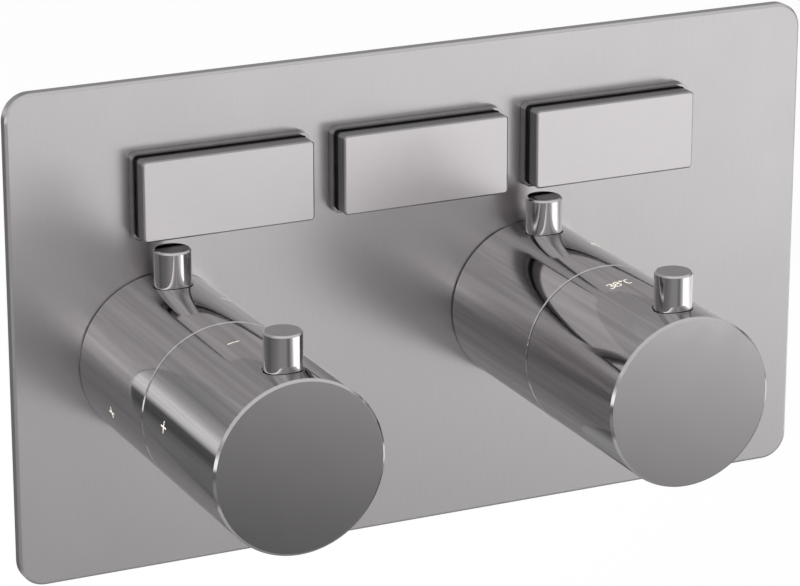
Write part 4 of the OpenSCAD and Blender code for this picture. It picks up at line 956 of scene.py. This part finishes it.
def studio_world(scene):
    """Two soft walls, left and right, each a row of levels by height. What lies behind the valve is
    dimmer by the share that the plate gives back, so that the knobs mirror one studio all round. The
    camera itself sees plain white."""
    world = bpy.data.worlds.new("studio")
    scene.world = world
    world.use_nodes = True
    tree = world.node_tree
    tree.nodes.clear()
    direction = put(tree, "ShaderNodeTexCoord").outputs["Generated"]
    x, y, z = put(tree, "ShaderNodeSeparateXYZ", Vector=direction).outputs
    lean = put(tree, "ShaderNodeMath", {"operation": "ABSOLUTE"}, i0=x).outputs[0]
    raised = put(tree, "ShaderNodeMath", {"operation": "MULTIPLY_ADD"}, i0=lean, i1=TILT, i2=z).outputs[0]
    height = put(tree, "ShaderNodeMapRange", Value=raised, From_Min=-1.0, From_Max=1.0).outputs[0]
    left, right = (
        put(tree, "ShaderNodeValToRGB", stops=[((h + 1) / 2, level) for h, level in wall], Fac=height)
        for wall in (LEFT_WALL, RIGHT_WALL)
    )
    side = put(
        tree, "ShaderNodeMapRange", Value=x, From_Min=WALL_SEAM[0], From_Max=WALL_SEAM[1]
    ).outputs[0]
    both = put(
        tree, "ShaderNodeMix", {"data_type": "RGBA"}, Factor=side, i6=left.outputs[0], i7=right.outputs[0]
    ).outputs[2]
    share = put(
        tree, "ShaderNodeMapRange", Value=y,
        From_Min=BEHIND[0], From_Max=BEHIND[1], To_Min=1.0, To_Max=BEHIND_SHARE,
    ).outputs[0]
    light = put(tree, "ShaderNodeBackground", Color=both, Strength=share).outputs[0]
    white = put(tree, "ShaderNodeBackground", Color=(1.0, 1.0, 1.0, 1.0), Strength=1.0).outputs[0]
    seen = put(tree, "ShaderNodeLightPath").outputs["Is Camera Ray"]
    back = put(tree, "ShaderNodeMixShader", Fac=seen, i1=light, i2=white).outputs[0]
    put(tree, "ShaderNodeOutputWorld", Surface=back)


LAMP_SIDE = 2.0
LAMP_PLACE = (-1.7, -1.0, 1.5)


def studio_lamp(studio):
    """A large soft square lamp, high on the left."""
    light = bpy.data.lights.new("soft_lamp", "AREA")
    light.size = LAMP_SIDE
    light.energy = studio.fill_watts
    lamp = add_object("soft_lamp", light)
    lamp.visible_glossy = False
    lamp.location = LAMP_PLACE
    lamp.rotation_euler = (-lamp.location).to_track_quat("-Z", "Y").to_euler()


# The camera's place was fitted to the plate's edges and the knobs in the photograph.
CAMERA_PLACE = (-0.46374, -0.97493, 0.35864)
SENSOR_WIDTH = 36.0
CLIP_END = 50


def studio_camera(scene, studio):
    """The camera at the photograph's angle, aimed from its fitted place."""
    data = bpy.data.cameras.new("camera")
    data.lens = studio.lens
    data.sensor_width = SENSOR_WIDTH
    data.clip_end = CLIP_END
    camera = add_object("camera", data)
    a, e = studio.azimuth, studio.elevation
    aim = Vector((math.sin(a) * math.cos(e), math.cos(a) * math.cos(e), -math.sin(e)))
    camera.location = CAMERA_PLACE
    camera.rotation_euler = aim.to_track_quat("-Z", "Y").to_euler()
    scene.camera = camera


# Panel and registration


class VALVE_PT_panel(bpy.types.Panel):
    """Lists the steps that dress the shower valve"""

    bl_idname = "VALVE_PT_panel"
    bl_label = "Shower valve"
    bl_space_type = "VIEW_3D"
    bl_region_type = "UI"
    bl_category = "Shower valve"

    def draw(self, context):
        for step in STEPS:
            self.layout.operator(step.bl_idname)
        for group in SETTINGS:
            settings = getattr(context.scene, group)
            for key in settings.bl_rna.properties.keys():
                if key not in ("rna_type", "name"):
                    self.layout.prop(settings, key)


STEPS = (VALVE_OT_finishes, VALVE_OT_marks, VALVE_OT_threads, VALVE_OT_springs, VALVE_OT_studio)
SETTINGS = {
    "valve_finish": FinishSettings,
    "valve_marks": MarkSettings,
    "valve_thread": ThreadSettings,
    "valve_spring": SpringSettings,
    "valve_studio": StudioSettings,
}


def register():
    """Registers the settings, the steps and the panel."""
    for cls in (*SETTINGS.values(), *STEPS, VALVE_PT_panel):
        bpy.utils.register_class(cls)
    for name, group in SETTINGS.items():
        setattr(bpy.types.Scene, name, PointerProperty(type=group))


def unregister():
    """Takes back what register does."""
    for name in SETTINGS:
        delattr(bpy.types.Scene, name)
    for cls in (VALVE_PT_panel, *reversed(STEPS), *reversed(SETTINGS.values())):
        bpy.utils.unregister_class(cls)


def main():
    """Dresses the valve."""
    register()
    bpy.ops.valve.finishes()
    bpy.ops.valve.marks()
    bpy.ops.valve.threads()
    bpy.ops.valve.springs()
    bpy.ops.valve.studio()
    bpy.context.scene.view_settings.view_transform = "Standard"


if __name__ == "__main__":
    main()
